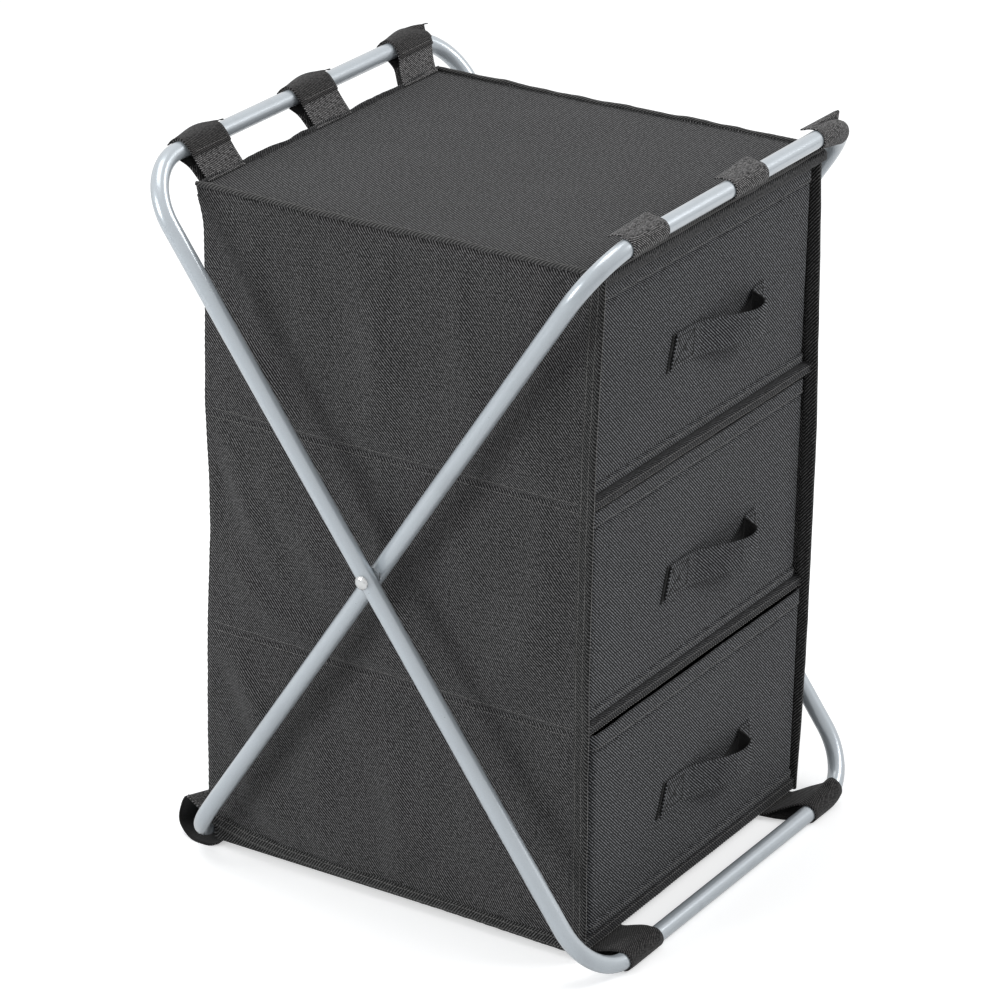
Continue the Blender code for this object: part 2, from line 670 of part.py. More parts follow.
def drawer_boards(name, half, front, low_z, high_z, material):
    """Base board on the drawer's floor, and the board that stiffens its front."""
    inset = DRAWER_WALL + CLEARANCE
    base_z = low_z + inset
    base_top = base_z + DRAWER_BASE_THICKNESS
    radius = DRAWER_CORNER_RADIUS - DRAWER_WALL
    rings = [drawer_ring(half, front, low_z, inset, radius, z) for z in (base_z, base_top)]
    loft(name + "_base_board", rings, material)
    board_half = half - inset - DRAWER_CORNER_RADIUS
    near = []
    far = []
    for z in (base_top + CLEARANCE, high_z - DRAWER_BOARD_TOP_GAP):
        near_y = front + inset + drawer_lean(low_z, z)
        near.append([(x, near_y, z) for x in (-board_half, board_half)])
        far.append([(x, near_y + DRAWER_BOARD_THICKNESS, z) for x in (-board_half, board_half)])
    slab(name + "_front_board", near, far, material, smooth=False)


def handle_line(middle_x, front):
    """Plan of a handle strap: flat on the front, out over a soft ramp, and back."""
    half = HANDLE_LENGTH / 2
    seat_y = front - CLEARANCE
    ramp_start = half - HANDLE_PATCH
    right = [Vector((half, seat_y))]
    for k in range(HANDLE_RAMP_STEPS + 1):
        part = k / HANDLE_RAMP_STEPS
        right.append(Vector((ramp_start - HANDLE_RAMP * part, seat_y - HANDLE_STANDOFF * ease(part))))
    left = [Vector((-point.x, point.y)) for point in reversed(right)]
    return [Vector((middle_x + point.x, point.y)) for point in right + left]


def drawer_handle(name, front, low_z, middle, material):
    """Webbing handle, sewn flat at both ends; its loop stands off the leaning front and sags a little."""
    middle_x, middle_z = middle
    seat = handle_line(middle_x, front)
    face = offset_line(seat, HANDLE_THICKNESS)
    sags = [HANDLE_SAG * (seat[0].y - point.y) / HANDLE_STANDOFF for point in seat]
    heights = (middle_z - HANDLE_HEIGHT / 2, middle_z + HANDLE_HEIGHT / 2)
    near = [[(p.x, p.y + drawer_lean(low_z, z), z - sag) for p, sag in zip(seat, sags)] for z in heights]
    far = [[(p.x, p.y + drawer_lean(low_z, z), z - sag) for p, sag in zip(face, sags)] for z in heights]
    return slab(name, near, far, material)


def build_drawers():
    """Three fabric drawers, each filling its bay."""
    fabric = drawer_fabric()
    webbing = strap_fabric()
    board = grey_board()
    half = INNER_HALF_WIDTH - DRAWER_SIDE_GAP
    for place, (bay_low, bay_high) in BAYS.items():
        name = "drawer_" + place
        front = front_y(bay_low) + DRAWER_SETBACKS[place]
        low_z = bay_low + DRAWER_FLOOR_GAP
        high_z = bay_high - DRAWER_TOP_GAP
        drawer_shell(name + "_shell", half, front, low_z, high_z, fabric)
        drawer_boards(name, half, front, low_z, high_z, board)
        shift_x, shift_z = HANDLE_SHIFTS[place]
        handle_middle = (shift_x, (bay_low + bay_high) / 2 + shift_z)
        drawer_handle(name + "_handle", front, low_z, handle_middle, webbing)


def main():
    """Build every piece of the tower."""
    clear_scene()
    build_frame()
    build_pivots()
    build_cabinet()
    build_straps()
    build_drawers()


main()
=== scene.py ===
"""Fabric drawer tower on a folding tube frame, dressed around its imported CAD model.

Metres, +Z up. The front faces -Y. The origin is on the floor, under the frame's pivot.
"""

from math import asin, atan2, cos, pi, radians, sin, sqrt

import bmesh
import bpy
import numpy as np
from mathutils import Matrix, Vector


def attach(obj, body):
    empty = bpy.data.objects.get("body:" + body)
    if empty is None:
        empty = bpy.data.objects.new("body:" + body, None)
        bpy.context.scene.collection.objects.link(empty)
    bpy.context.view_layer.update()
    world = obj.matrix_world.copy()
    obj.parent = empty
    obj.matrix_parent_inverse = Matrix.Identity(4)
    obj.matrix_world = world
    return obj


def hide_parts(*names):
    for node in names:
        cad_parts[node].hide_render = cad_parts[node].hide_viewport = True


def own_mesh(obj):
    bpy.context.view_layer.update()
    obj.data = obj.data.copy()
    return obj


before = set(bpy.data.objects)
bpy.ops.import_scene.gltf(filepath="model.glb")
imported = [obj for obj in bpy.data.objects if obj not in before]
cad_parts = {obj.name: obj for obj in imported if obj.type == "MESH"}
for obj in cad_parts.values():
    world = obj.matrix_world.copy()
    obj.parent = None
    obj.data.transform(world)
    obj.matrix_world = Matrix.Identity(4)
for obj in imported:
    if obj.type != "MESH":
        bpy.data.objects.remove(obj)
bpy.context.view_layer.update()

# Camera found from the photograph, whose frame is 1000 pixels wide and high
CAMERA_TARGET = (0.0, 0.0108, 0.3016)
CAMERA_DISTANCE = 3.7122
CAMERA_AZIMUTH = radians(-56.13)
CAMERA_ELEVATION = radians(24.08)
CAMERA_ROLL = radians(-0.85)
CAMERA_FOCUS = 4402.7
CAMERA_CENTRE = (3.0, 3.6)
PICTURE_SIZE = 1000.0
SENSOR_WIDTH = 36.0

# Sizes of the CAD model that its cloth follows
CLEARANCE = 0.0003
HALF_WIDTH = 0.1733
INNER_HALF = 0.1713
DEPTH = 0.378
HEIGHT = 0.598
LEAN = 0.022
BOTTOM_Z = 0.006
TOP_Z = BOTTOM_Z + HEIGHT
FRONT_Y = -0.1775
TOP_UNDER_Z = 0.594
LOWER_SHELF = (0.2055, 0.2145)
UPPER_SHELF = (0.4045, 0.4135)
SHELF_SETBACK = 0.0035
BAYS = {"bottom": (0.0188, 0.2055), "middle": (0.2145, 0.4045), "top": (0.4135, 0.594)}

# Frame of two crossed loops of tube
TUBE_RADIUS = 0.0075
BEND_RADIUS = 0.052
INNER_LOOP = 0.1972
OUTER_LOOP = 0.2137
BAR_REACH = 0.213
PIVOT_Z = 0.3185
HALF_RISE = 0.3095
LEG_HALF = sqrt(BAR_REACH ** 2 + HALF_RISE ** 2)

# Cloth
PANEL_CLOTH = 0.0016
COVER_CLOTH = 0.0012
BINDING_CLOTH = 0.0009
STRAP_CLOTH = 0.0012
STRAP_WIDTH = 0.049
STRAP_RADIUS = TUBE_RADIUS + CLEARANCE
LEFT_COLUMN = -0.1355
MIDDLE_COLUMN = 0.0145
RIGHT_COLUMN = 0.1433
BACK_COLUMN = 0.1405

# Drawers
DRAWER_HALF = 0.1673
DRAWER_DEPTH = 0.360
DRAWER_RADII = (0.010, 0.0055)
DRAWER_FLOOR_GAP = 0.0008
DRAWER_TOP_GAPS = {"bottom": 0.0013, "middle": 0.0040, "top": 0.0040}
DRAWER_FRONTS = {"bottom": -0.1776, "middle": -0.1778, "top": -0.1833}
HANDLE_PLACES = {"bottom": (0.0145, 0.09855), "middle": (0.0205, 0.2943), "top": (0.0195, 0.49855)}


# Small tools for numbers

def smooth_curve(places, values, spread=0.012):
    """Function that passes near the given values and bends gently between them."""
    table_x = np.linspace(min(places) - 0.1, max(places) + 0.1, 900)
    table_y = np.interp(table_x, places, values)
    step = table_x[1] - table_x[0]
    reach = int(3 * spread / step) + 1
    kernel = np.exp(-0.5 * (np.arange(-reach, reach + 1) * step / spread) ** 2)
    padded = np.pad(table_y, reach, mode="edge")
    table_y = np.convolve(padded, kernel / kernel.sum(), mode="valid")
    return lambda x: np.interp(x, table_x, table_y)


def ease(value):
    """Ease from 0 to 1."""
    t = np.clip(value, 0.0, 1.0)
    return t * t * (3 - 2 * t)


def waves(seed, u, v, scale, octaves=3):
    """Soft noise from -1 to 1 made of sine waves that run in many directions."""
    random = np.random.RandomState(seed)
    total = 0.0
    size = 1.0
    weight = 0.0
    for _ in range(octaves):
        for _ in range(5):
            angle = random.uniform(0, 2 * pi)
            rate = 2 * pi / scale * random.uniform(0.6, 1.4) * size
            phase = random.uniform(0, 2 * pi)
            total = total + np.sin((u * cos(angle) + v * sin(angle)) * rate + phase) / size
            weight += 0.45 / size
        size *= 2.0
    return total / weight


def arc_lengths(line):
    """Length from the start of a line to each of its points."""
    return np.concatenate([[0.0], np.cumsum(np.linalg.norm(np.diff(line, axis=0), axis=1))])


def map_of(u, v):
    """Map points of a grid from its U and V, either of which may be the same along a row or a column."""
    return np.stack(np.broadcast_arrays(u, v), axis=2)


def seam_on(line, outward):
    """Seam for stitches: a line, and the same outward direction at each of its points."""
    return line, np.tile(outward, (len(line), 1))


# Materials

# Mean brightness of the ribs' pattern, by which a cloth's peak tone follows from its mean
MEAN_RIB = 0.205


class Graph:
    """Builds a material's nodes around its Principled shader."""

    def __init__(self, name):
        self.material = bpy.data.materials.new(name)
        self.material.use_nodes = True
        self.tree = self.material.node_tree
        self.shader = self.tree.nodes["Principled BSDF"]

    def node(self, kind, **settings):
        """New node with its settings."""
        made = self.tree.nodes.new(kind)
        for key, value in settings.items():
            setattr(made, key, value)
        return made

    def feed(self, socket, value):
        """Link an output to a socket, or set the socket to a plain value."""
        if isinstance(value, bpy.types.NodeSocket):
            self.tree.links.new(value, socket)
        else:
            socket.default_value = value

    def calc(self, operation, first, second=None, third=None, clamp=False):
        """Math node on sockets or numbers."""
        made = self.node("ShaderNodeMath", operation=operation, use_clamp=clamp)
        for socket, value in zip(made.inputs, (first, second, third)):
            if value is not None:
                self.feed(socket, value)
        return made.outputs[0]

    def dot(self, vector, direction):
        """Length of a vector along a direction."""
        made = self.node("ShaderNodeVectorMath", operation="DOT_PRODUCT")
        self.feed(made.inputs[0], vector)
        made.inputs[1].default_value = direction
        return made.outputs["Value"]

    def place(self, kind="Object"):
        """Texture coordinates."""
        return self.node("ShaderNodeTexCoord").outputs[kind]

    def noise(self, vector, scale, detail=2.0, roughness=0.5):
        """Noise texture from 0 to 1."""
        made = self.node("ShaderNodeTexNoise")
        self.feed(made.inputs["Vector"], vector)
        made.inputs["Scale"].default_value = scale
        made.inputs["Detail"].default_value = detail
        made.inputs["Roughness"].default_value = roughness
        return made.outputs["Fac"]

    def blend(self, share, first, second, mode="MIX"):
        """Mix of two colours."""
        made = self.node("ShaderNodeMix", data_type="RGBA", blend_type=mode)
        self.feed(made.inputs[0], share)
        self.feed(made.inputs[6], first)
        self.feed(made.inputs[7], second)
        return made.outputs[2]

    def scaled(self, colour, share):
        """Colour times a number."""
        made = self.node("ShaderNodeVectorMath", operation="SCALE")
        self.feed(made.inputs[0], colour)
        self.feed(made.inputs["Scale"], share)
        return made.outputs[0]

    def stretch(self, value, low, high, to_low, to_high):
        """Map a range of numbers to another."""
        made = self.node("ShaderNodeMapRange")
        self.feed(made.inputs[0], value)
        for socket, number in zip(made.inputs[1:5], (low, high, to_low, to_high)):
            socket.default_value = number
        return made.outputs[0]

    def bump(self, height, strength, distance, under=None):
        """Bump, on top of another bump if there is one."""
        made = self.node("ShaderNodeBump")
        made.inputs["Strength"].default_value = strength
        made.inputs["Distance"].default_value = distance
        self.feed(made.inputs["Height"], height)
        if under is not None:
            self.feed(made.inputs["Normal"], under)
        return made.outputs[0]

    def finish(self, colour, normal=None, **values):
        """Set the shader's inputs and hand over the material."""
        self.feed(self.shader.inputs["Base Color"], colour)
        if normal is not None:
            self.feed(self.shader.inputs["Normal"], normal)
        for name, value in values.items():
            self.feed(self.shader.inputs[name.replace("_", " ").title().replace("Ior", "IOR")], value)
        return self.material


def woven(name, ground, mean, ribs, dash_pitch, bump=0.9, mottle=0.16, sheen=0.1, wander=0.14, specks=0.6):
    """Cloth with narrow bright diagonal ribs that are broken into short floats, on a dark ground.

    Ribs is the number of ribs per metre along U and V of the piece's own map, which is in metres.
    """
    g = Graph(name)
    where = g.place("UV")
    object_place = g.place("Object")
    rate = sqrt(ribs[0] ** 2 + ribs[1] ** 2)
    drift = g.calc("MULTIPLY", g.calc("SUBTRACT", g.noise(where, 55.0, 1.0), 0.5), wander * 2)
    across = g.calc("ADD", g.dot(where, (ribs[0], ribs[1], 0.0)), drift)
    wave = g.calc("MULTIPLY_ADD", g.calc("COSINE", g.calc("MULTIPLY", across, 2 * pi)), 0.5, 0.5)
    rib = g.calc("POWER", wave, 4.0)
    run = g.dot(where, (-ribs[1] / rate / dash_pitch, ribs[0] / rate / dash_pitch, 0.0))
    run = g.calc("ADD", run, g.calc("MULTIPLY", g.calc("FLOOR", across), 0.37))
    dash = g.calc("MULTIPLY_ADD", g.calc("COSINE", g.calc("MULTIPLY", run, 2 * pi)), 0.5, 0.5)
    fibre = g.noise(where, 2600.0, 1.0, 0.6)
    tone = g.calc("MULTIPLY", rib, g.calc("MULTIPLY_ADD", dash, 0.5, 0.5))
    tone = g.calc("MULTIPLY", tone, g.calc("MULTIPLY_ADD", fibre, 0.6, 0.7))
    speck = g.stretch(g.noise(where, 360.0, 2.0, 0.8), 0.36, 0.64, 1.0 - specks, 1.0 + specks)
    tone = g.calc("MULTIPLY", tone, speck)
    peak = [low + (middle - low) / MEAN_RIB for low, middle in zip(ground, mean)]
    colour = g.blend(tone, (*ground, 1.0), (*peak, 1.0))
    patches = g.noise(object_place, 9.0, 3.0, 0.6)
    colour = g.scaled(colour, g.calc("MULTIPLY_ADD", patches, mottle * 2, 1.0 - mottle))
    normal = g.bump(g.noise(object_place, 60.0, 2.0), 0.12, 0.002)
    normal = g.bump(g.calc("MULTIPLY", wave, g.calc("MULTIPLY_ADD", dash, 0.4, 0.6)), bump, 0.00045, normal)
    rough = g.stretch(wave, 0.0, 1.0, 0.96, 0.78)
    return g.finish(colour, normal, roughness=rough, specular_ior_level=0.22, sheen_weight=sheen,
                    sheen_roughness=0.5)


def lining(name, colour, spots=380.0):
    """Smooth spunbond cloth with small embossed points."""
    g = Graph(name)
    where = g.place("UV")
    cells = g.node("ShaderNodeTexVoronoi", feature="F1")
    g.feed(cells.inputs["Vector"], where)
    cells.inputs["Scale"].default_value = spots
    point = g.stretch(cells.outputs["Distance"], 0.1, 0.5, 0.0, 1.0)
    fibre = g.noise(where, 900.0, 3.0, 0.7)
    tone = g.calc("MULTIPLY_ADD", fibre, 0.5, 0.72)
    shade = g.calc("MULTIPLY", tone, g.calc("MULTIPLY_ADD", point, 0.3, 0.72))
    normal = g.bump(g.calc("MULTIPLY", point, fibre), 0.5, 0.0003)
    return g.finish(g.scaled((*colour, 1.0)[:3], shade), normal, roughness=0.92, specular_ior_level=0.2,
                    sheen_weight=0.2, sheen_roughness=0.5)


def thread(name, colour):
    """Twisted sewing thread."""
    g = Graph(name)
    place = g.place("Object")
    ply = g.noise(place, 2400.0, 1.0, 0.5)
    worn = g.noise(place, 30.0, 2.0, 0.5)
    fine = g.calc("MULTIPLY_ADD", ply, 0.7, 0.65)
    shade = g.calc("MULTIPLY", fine, g.calc("MULTIPLY_ADD", worn, 0.5, 0.75))
    return g.finish(g.scaled(colour, shade), g.bump(ply, 0.6, 0.0002), roughness=0.62,
                    specular_ior_level=0.35, sheen_weight=0.3, sheen_roughness=0.4)


def satin_paint():
    """Silver paint on steel tube, with a fine flake and faint rub marks."""
    g = Graph("satin_silver_paint")
    place = g.place("Object")
    flake = g.noise(place, 1900.0, 1.0, 0.5)
    orange = g.noise(place, 240.0, 2.0, 0.5)
    rub = g.node("ShaderNodeTexNoise")
    squeeze = g.node("ShaderNodeMapping")
    g.feed(squeeze.inputs["Vector"], place)
    squeeze.inputs["Scale"].default_value = (1.0, 0.25, 0.25)
    g.feed(rub.inputs["Vector"], squeeze.outputs[0])
    rub.inputs["Scale"].default_value = 46.0
    rub.inputs["Detail"].default_value = 5.0
    marks = g.stretch(rub.outputs["Fac"], 0.58, 0.72, 0.0, 1.0)
    colour = g.blend(flake, (0.43, 0.475, 0.51, 1.0), (0.56, 0.605, 0.645, 1.0))
    colour = g.blend(g.calc("MULTIPLY", marks, 0.35), colour, (0.38, 0.41, 0.44, 1.0))
    rough = g.calc("ADD", g.calc("MULTIPLY_ADD", orange, 0.10, 0.25), g.calc("MULTIPLY", marks, 0.08))
    normal = g.bump(orange, 0.06, 0.0006)
    normal = g.bump(flake, 0.05, 0.0001, normal)
    return g.finish(colour, normal, roughness=rough, metallic=0.30, coat_weight=1.0, coat_roughness=0.07)


def bright_zinc():
    """Turned and plated rivet steel."""
    g = Graph("bright_zinc")
    place = g.place("Object")
    grain = g.noise(place, 900.0, 3.0, 0.6)
    stain = g.noise(place, 140.0, 3.0, 0.6)
    colour = g.blend(stain, (0.80, 0.81, 0.82, 1.0), (0.66, 0.67, 0.66, 1.0))
    rough = g.calc("MULTIPLY_ADD", grain, 0.16, 0.16)
    return g.finish(colour, g.bump(grain, 0.15, 0.0002), roughness=rough, metallic=1.0)


def fibreboard():
    """Raw grey fibreboard with pressed fibres."""
    g = Graph("grey_fibreboard")
    place = g.place("Object")
    fibre = g.noise(place, 420.0, 4.0, 0.7)
    cloud = g.noise(place, 16.0, 3.0, 0.6)
    dark = g.stretch(g.noise(place, 160.0, 2.0, 0.6), 0.62, 0.72, 0.0, 1.0)
    colour = g.blend(fibre, (0.22, 0.19, 0.15, 1.0), (0.42, 0.375, 0.31, 1.0))
    colour = g.blend(g.calc("MULTIPLY", dark, 0.5), colour, (0.13, 0.11, 0.09, 1.0))
    colour = g.scaled(colour, g.calc("MULTIPLY_ADD", cloud, 0.3, 0.85))
    return g.finish(colour, g.bump(fibre, 0.4, 0.0003), roughness=0.9, specular_ior_level=0.25)


# Ribs of the twills per metre along the map's U and V. They are coarser than on the real cloth, because a
# finer twill is lost in the render's denoising.
SIDE_RIBS = (366.0, 304.0)
FRONT_RIBS = (334.0, 330.0)
TOP_RIBS = (373.0, -213.0)
STRAP_RIBS = (420.0, 420.0)

CLOTH = {
    "side_left": woven("side_twill_left", (0.0015, 0.0015, 0.0016), (0.0520, 0.0510, 0.0515), SIDE_RIBS,
                       0.0036),
    "side_right": woven("side_twill_right", (0.0015, 0.0015, 0.0016), (0.0520, 0.0510, 0.0515), SIDE_RIBS,
                        0.0036),
    "top": woven("top_twill", (0.005, 0.005, 0.0054), (0.0395, 0.0392, 0.0402), TOP_RIBS, 0.0030, 0.6,
                 sheen=0.08, specks=0.7),
    "front": woven("front_twill", (0.0015, 0.0016, 0.0018), (0.0545, 0.0557, 0.0592), FRONT_RIBS, 0.0036),
    "shelf": woven("shelf_twill", (0.003, 0.003, 0.0033), (0.0270, 0.0272, 0.0288), FRONT_RIBS, 0.0036),
    "strap": woven("strap_weave", (0.006, 0.0058, 0.006), (0.0800, 0.0775, 0.0775), STRAP_RIBS, 0.0022, 0.7,
                   wander=0.5, specks=1.0),
    # Darker copy of the strap weave: painted shade, on the second layer over the high back bars and on the
    # low front straps
    "painted_shade_strap": woven("strap_weave_painted_shade", (0.004, 0.0038, 0.0038), (0.0260, 0.0246, 0.0244), STRAP_RIBS,
                        0.0022, 0.7, wander=0.5, specks=1.0),
    # Dark copy of a lining for the faces of straps and handles that turn towards a bar or the drawer front:
    # painted shade
    "underside": lining("strap_underside_painted_shade", (0.011, 0.0105, 0.0105)),
    "binding": woven("binding_twill", (0.004, 0.004, 0.004), (0.0400, 0.0396, 0.0392), SIDE_RIBS, 0.0036),
    "piping": woven("piping_twill", (0.020, 0.020, 0.020), (0.0520, 0.0512, 0.0505), (330.0, 300.0), 0.0030,
                    0.2, specks=0.4),
    "lining": lining("drawer_lining", (0.050, 0.050, 0.054)),
    "thread": thread("grey_thread", (0.160, 0.155, 0.150)),
    "dark_thread": thread("dark_thread", (0.020, 0.020, 0.021)),
    # Black thread for the handle seams; the same black is also painted shadow on each handle's end slit and
    # on the sheet behind each loop
    "crease": thread("black_thread_and_painted_shadow", (0.004, 0.004, 0.004)),
}
PAINT = satin_paint()
ZINC = bright_zinc()
BOARD = fibreboard()


# Mesh tools

def mesh_piece(name, points, faces, uvs, material, body, replaces=(), smooth=True):
    """Object from arrays of points, quads and one map point for each corner."""
    mesh = bpy.data.meshes.new(name)
    mesh.from_pydata([tuple(p) for p in points], [], [tuple(int(i) for i in f) for f in faces])
    if uvs is not None:
        layer = mesh.uv_layers.new(name="metres")
        layer.data.foreach_set("uv", np.asarray(uvs, np.float32).ravel())
    mesh.materials.append(material)
    mesh.polygons.foreach_set("use_smooth", [smooth] * len(mesh.polygons))
    mesh.update()
    thing = bpy.data.objects.new(name, mesh)
    bpy.context.scene.collection.objects.link(thing)
    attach(thing, body)
    if replaces:
        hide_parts(*replaces)
    return thing


def grid_normals(grid, wrap=False):
    """Unit normals of a grid of points."""
    if wrap:
        along = np.roll(grid, -1, axis=1) - np.roll(grid, 1, axis=1)
    else:
        along = np.gradient(grid, axis=1)
    down = np.gradient(grid, axis=0)
    normal = np.cross(along, down)
    return normal / np.maximum(np.linalg.norm(normal, axis=2, keepdims=True), 1e-12)


def cloth(name, middle, uv, thickness, material, body, replaces=(), wrap=False):
    """Closed cloth of even thickness about a grid of points, with round edges."""
    rows, columns = middle.shape[:2]
    normal = grid_normals(middle, wrap)
    layers = [middle + normal * (thickness / 2), middle - normal * (thickness / 2)]
    points = [layers[0].reshape(-1, 3), layers[1].reshape(-1, 3)]
    index = np.arange(rows * columns).reshape(rows, columns)
    count = rows * columns
    faces = []
    maps = []

    def quads(a, b, c, d, ua, ub, uc, ud):
        faces.append(np.stack([a.ravel(), b.ravel(), c.ravel(), d.ravel()], axis=1))
        maps.append(np.stack([x.reshape(-1, 2) for x in (ua, ub, uc, ud)], axis=1))

    if wrap:
        right = np.roll(index, -1, axis=1)
        uv_right = np.roll(uv, -1, axis=1)
        length = np.linalg.norm(uv[:, -1] - uv[:, 0], axis=1)
        step = length / (columns - 1)
        direction = (uv[:, -1] - uv[:, 0]) / length[:, None]
        uv_right[:, -1] = uv[:, -1] + direction * step[:, None]
        a, b, c, d = index[:-1], right[:-1], right[1:], index[1:]
        ua, ub, uc, ud = uv[:-1], uv_right[:-1], uv_right[1:], uv[1:]
    else:
        a, b, c, d = index[:-1, :-1], index[:-1, 1:], index[1:, 1:], index[1:, :-1]
        ua, ub, uc, ud = uv[:-1, :-1], uv[:-1, 1:], uv[1:, 1:], uv[1:, :-1]
    quads(a, b, c, d, ua, ub, uc, ud)
    quads(a + count, d + count, c + count, b + count, ua, ud, uc, ub)
    next_point = 2 * count

    def rim(line, line_uv, outward, closed, flip):
        nonlocal next_point
        middle_line = middle.reshape(-1, 3)[line] + outward * (thickness * 0.42)
        points.append(middle_line)
        edge = np.arange(len(line)) + next_point
        next_point += len(line)
        after = np.roll(np.arange(len(line)), -1)
        keep = slice(None) if closed else slice(0, -1)
        i = np.arange(len(line))[keep]
        j = after[keep]
        u0, u1 = line_uv[i], line_uv[j]
        for near, far in ((line, edge), (edge, line + count)):
            if flip:
                quads(near[i], far[i], far[j], near[j], u0, u0, u1, u1)
            else:
                quads(near[i], near[j], far[j], far[i], u0, u1, u1, u0)

    def away(line, inner):
        step = middle.reshape(-1, 3)[line] - middle.reshape(-1, 3)[inner]
        return step / np.maximum(np.linalg.norm(step, axis=1, keepdims=True), 1e-12)

    flat_uv = uv.reshape(-1, 2)
    rim(index[0], flat_uv[index[0]], away(index[0], index[1]), wrap, True)
    rim(index[-1], flat_uv[index[-1]], away(index[-1], index[-2]), wrap, False)
    if not wrap:
        rim(index[:, 0], flat_uv[index[:, 0]], away(index[:, 0], index[:, 1]), False, False)
        rim(index[:, -1], flat_uv[index[:, -1]], away(index[:, -1], index[:, -2]), False, True)
    all_points = np.concatenate(points)
    all_faces = np.concatenate(faces)
    all_maps = np.concatenate(maps).reshape(-1, 2)
    thing = mesh_piece(name, all_points, all_faces, all_maps, material, body, replaces)
    tidy_normals(thing)
    return thing


def tidy_normals(thing):
    """Turn every face of a closed mesh outwards."""
    bm = bmesh.new()
    bm.from_mesh(thing.data)
    bmesh.ops.recalc_face_normals(bm, faces=bm.faces)
    bm.to_mesh(thing.data)
    bm.free()


def lined(thing, material, inward):
    """Give another material to the faces whose normal agrees with the direction that inward finds."""
    thing.data.materials.append(material)
    for polygon in thing.data.polygons:
        if polygon.normal.dot(inward(polygon.center)) > 0.25:
            polygon.material_index = 1


def resample(line, step):
    """Points at even steps along an open line, and the arc length at each."""
    line = np.asarray(line, float)
    lengths = arc_lengths(line)
    count = max(int(round(lengths[-1] / step)), 1)
    at = np.linspace(0, lengths[-1], count + 1)
    return np.stack([np.interp(at, lengths, line[:, k]) for k in range(line.shape[1])], axis=1), at


def sweep(name, line, radius, sides, material, body, replaces=(), closed=False, ripple=None):
    """Round tube or roll along a line; ripple scales the radius at each station."""
    line = np.asarray(line, float)
    count = len(line)
    if closed:
        tangent = np.roll(line, -1, axis=0) - np.roll(line, 1, axis=0)
    else:
        tangent = np.gradient(line, axis=0)
    tangent /= np.linalg.norm(tangent, axis=1, keepdims=True)
    first = np.cross(tangent[0], (0.0, 0.0, 1.0))
    if np.linalg.norm(first) < 0.1:
        first = np.cross(tangent[0], (1.0, 0.0, 0.0))
    first /= np.linalg.norm(first)
    sides_of = [first]
    for k in range(1, count):
        carried = sides_of[-1] - tangent[k] * np.dot(sides_of[-1], tangent[k])
        sides_of.append(carried / np.linalg.norm(carried))
    sides_of = np.array(sides_of)
    other = np.cross(tangent, sides_of)
    angles = 2 * pi * np.arange(sides) / sides
    size = np.full(count, radius) if ripple is None else radius * ripple
    rings = (line[:, None, :] + size[:, None, None] * (
        np.cos(angles)[None, :, None] * sides_of[:, None, :]
        + np.sin(angles)[None, :, None] * other[:, None, :]))
    arc = arc_lengths(line)
    faces = []
    maps = []
    last = count if closed else count - 1
    for i in range(last):
        j = (i + 1) % count
        after = arc[i + 1] if i + 1 < count else arc[i] + np.linalg.norm(line[0] - line[-1])
        for k in range(sides):
            m = (k + 1) % sides
            faces.append((i * sides + k, i * sides + m, j * sides + m, j * sides + k))
            low, high = k * 2 * pi * radius / sides, (k + 1) * 2 * pi * radius / sides
            maps += [(low, arc[i]), (high, arc[i]), (high, after), (low, after)]
    points = list(rings.reshape(-1, 3))
    if not closed:
        for end, outward in ((0, -tangent[0]), (count - 1, tangent[-1])):
            tip = len(points)
            points.append(line[end] + outward * size[end] * 0.6)
            for k in range(sides):
                faces.append((end * sides + k, end * sides + (k + 1) % sides, tip))
                maps += [(0.0, arc[end])] * 3
    thing = mesh_piece(name, points, faces, maps, material, body, replaces)
    tidy_normals(thing)
    return thing


def stitches(name, seams, body, material, pitch=0.0034, length=0.0025, radius=0.00033, lift=0.00012):
    """Short threads along seams; each seam is a line of points with the surface normal at each."""
    points = []
    faces = []
    profile = ((-0.5, 0.35, -0.5), (-0.28, 0.95, 0.35), (0.28, 0.95, 0.35), (0.5, 0.35, -0.5))
    sides = 6
    angles = 2 * pi * np.arange(sides) / sides
    for line, normals in seams:
        both = np.concatenate([np.asarray(line, float), np.asarray(normals, float)], axis=1)
        arc = arc_lengths(both[:, :3])
        count = int(arc[-1] / pitch)
        if count < 1:
            continue
        centres = (np.arange(count) + 0.5) * arc[-1] / count
        middle, before, after = (
            np.stack([np.interp(at, arc, both[:, k]) for k in range(6)], axis=1)
            for at in (centres, centres - length / 2, centres + length / 2))
        along = after[:, :3] - before[:, :3]
        along /= np.linalg.norm(along, axis=1, keepdims=True)
        up = middle[:, 3:] - along * (middle[:, 3:] * along).sum(1, keepdims=True)
        up /= np.linalg.norm(up, axis=1, keepdims=True)
        side = np.cross(along, up)
        base = len(points)
        rings = []
        for share, size, rise in profile:
            centre = middle[:, :3] + along * (share * length) + up * (lift + rise * radius)
            ring = centre[:, None, :] + radius * size * (
                np.cos(angles)[None, :, None] * side[:, None, :]
                + np.sin(angles)[None, :, None] * up[:, None, :])
            rings.append(ring)
        block = np.stack(rings, axis=1)
        points.extend(block.reshape(-1, 3))
        each = len(profile) * sides
        for s in range(count):
            start = base + s * each
            for r in range(len(profile) - 1):
                for k in range(sides):
                    m = (k + 1) % sides
                    faces.append((start + r * sides + k, start + r * sides + m,
                                  start + (r + 1) * sides + m, start + (r + 1) * sides + k))
            faces.append(tuple(start + k for k in reversed(range(sides))))
            faces.append(tuple(start + (len(profile) - 1) * sides + k for k in range(sides)))
    return mesh_piece(name, points, faces, None, material, body)


# Tube frame

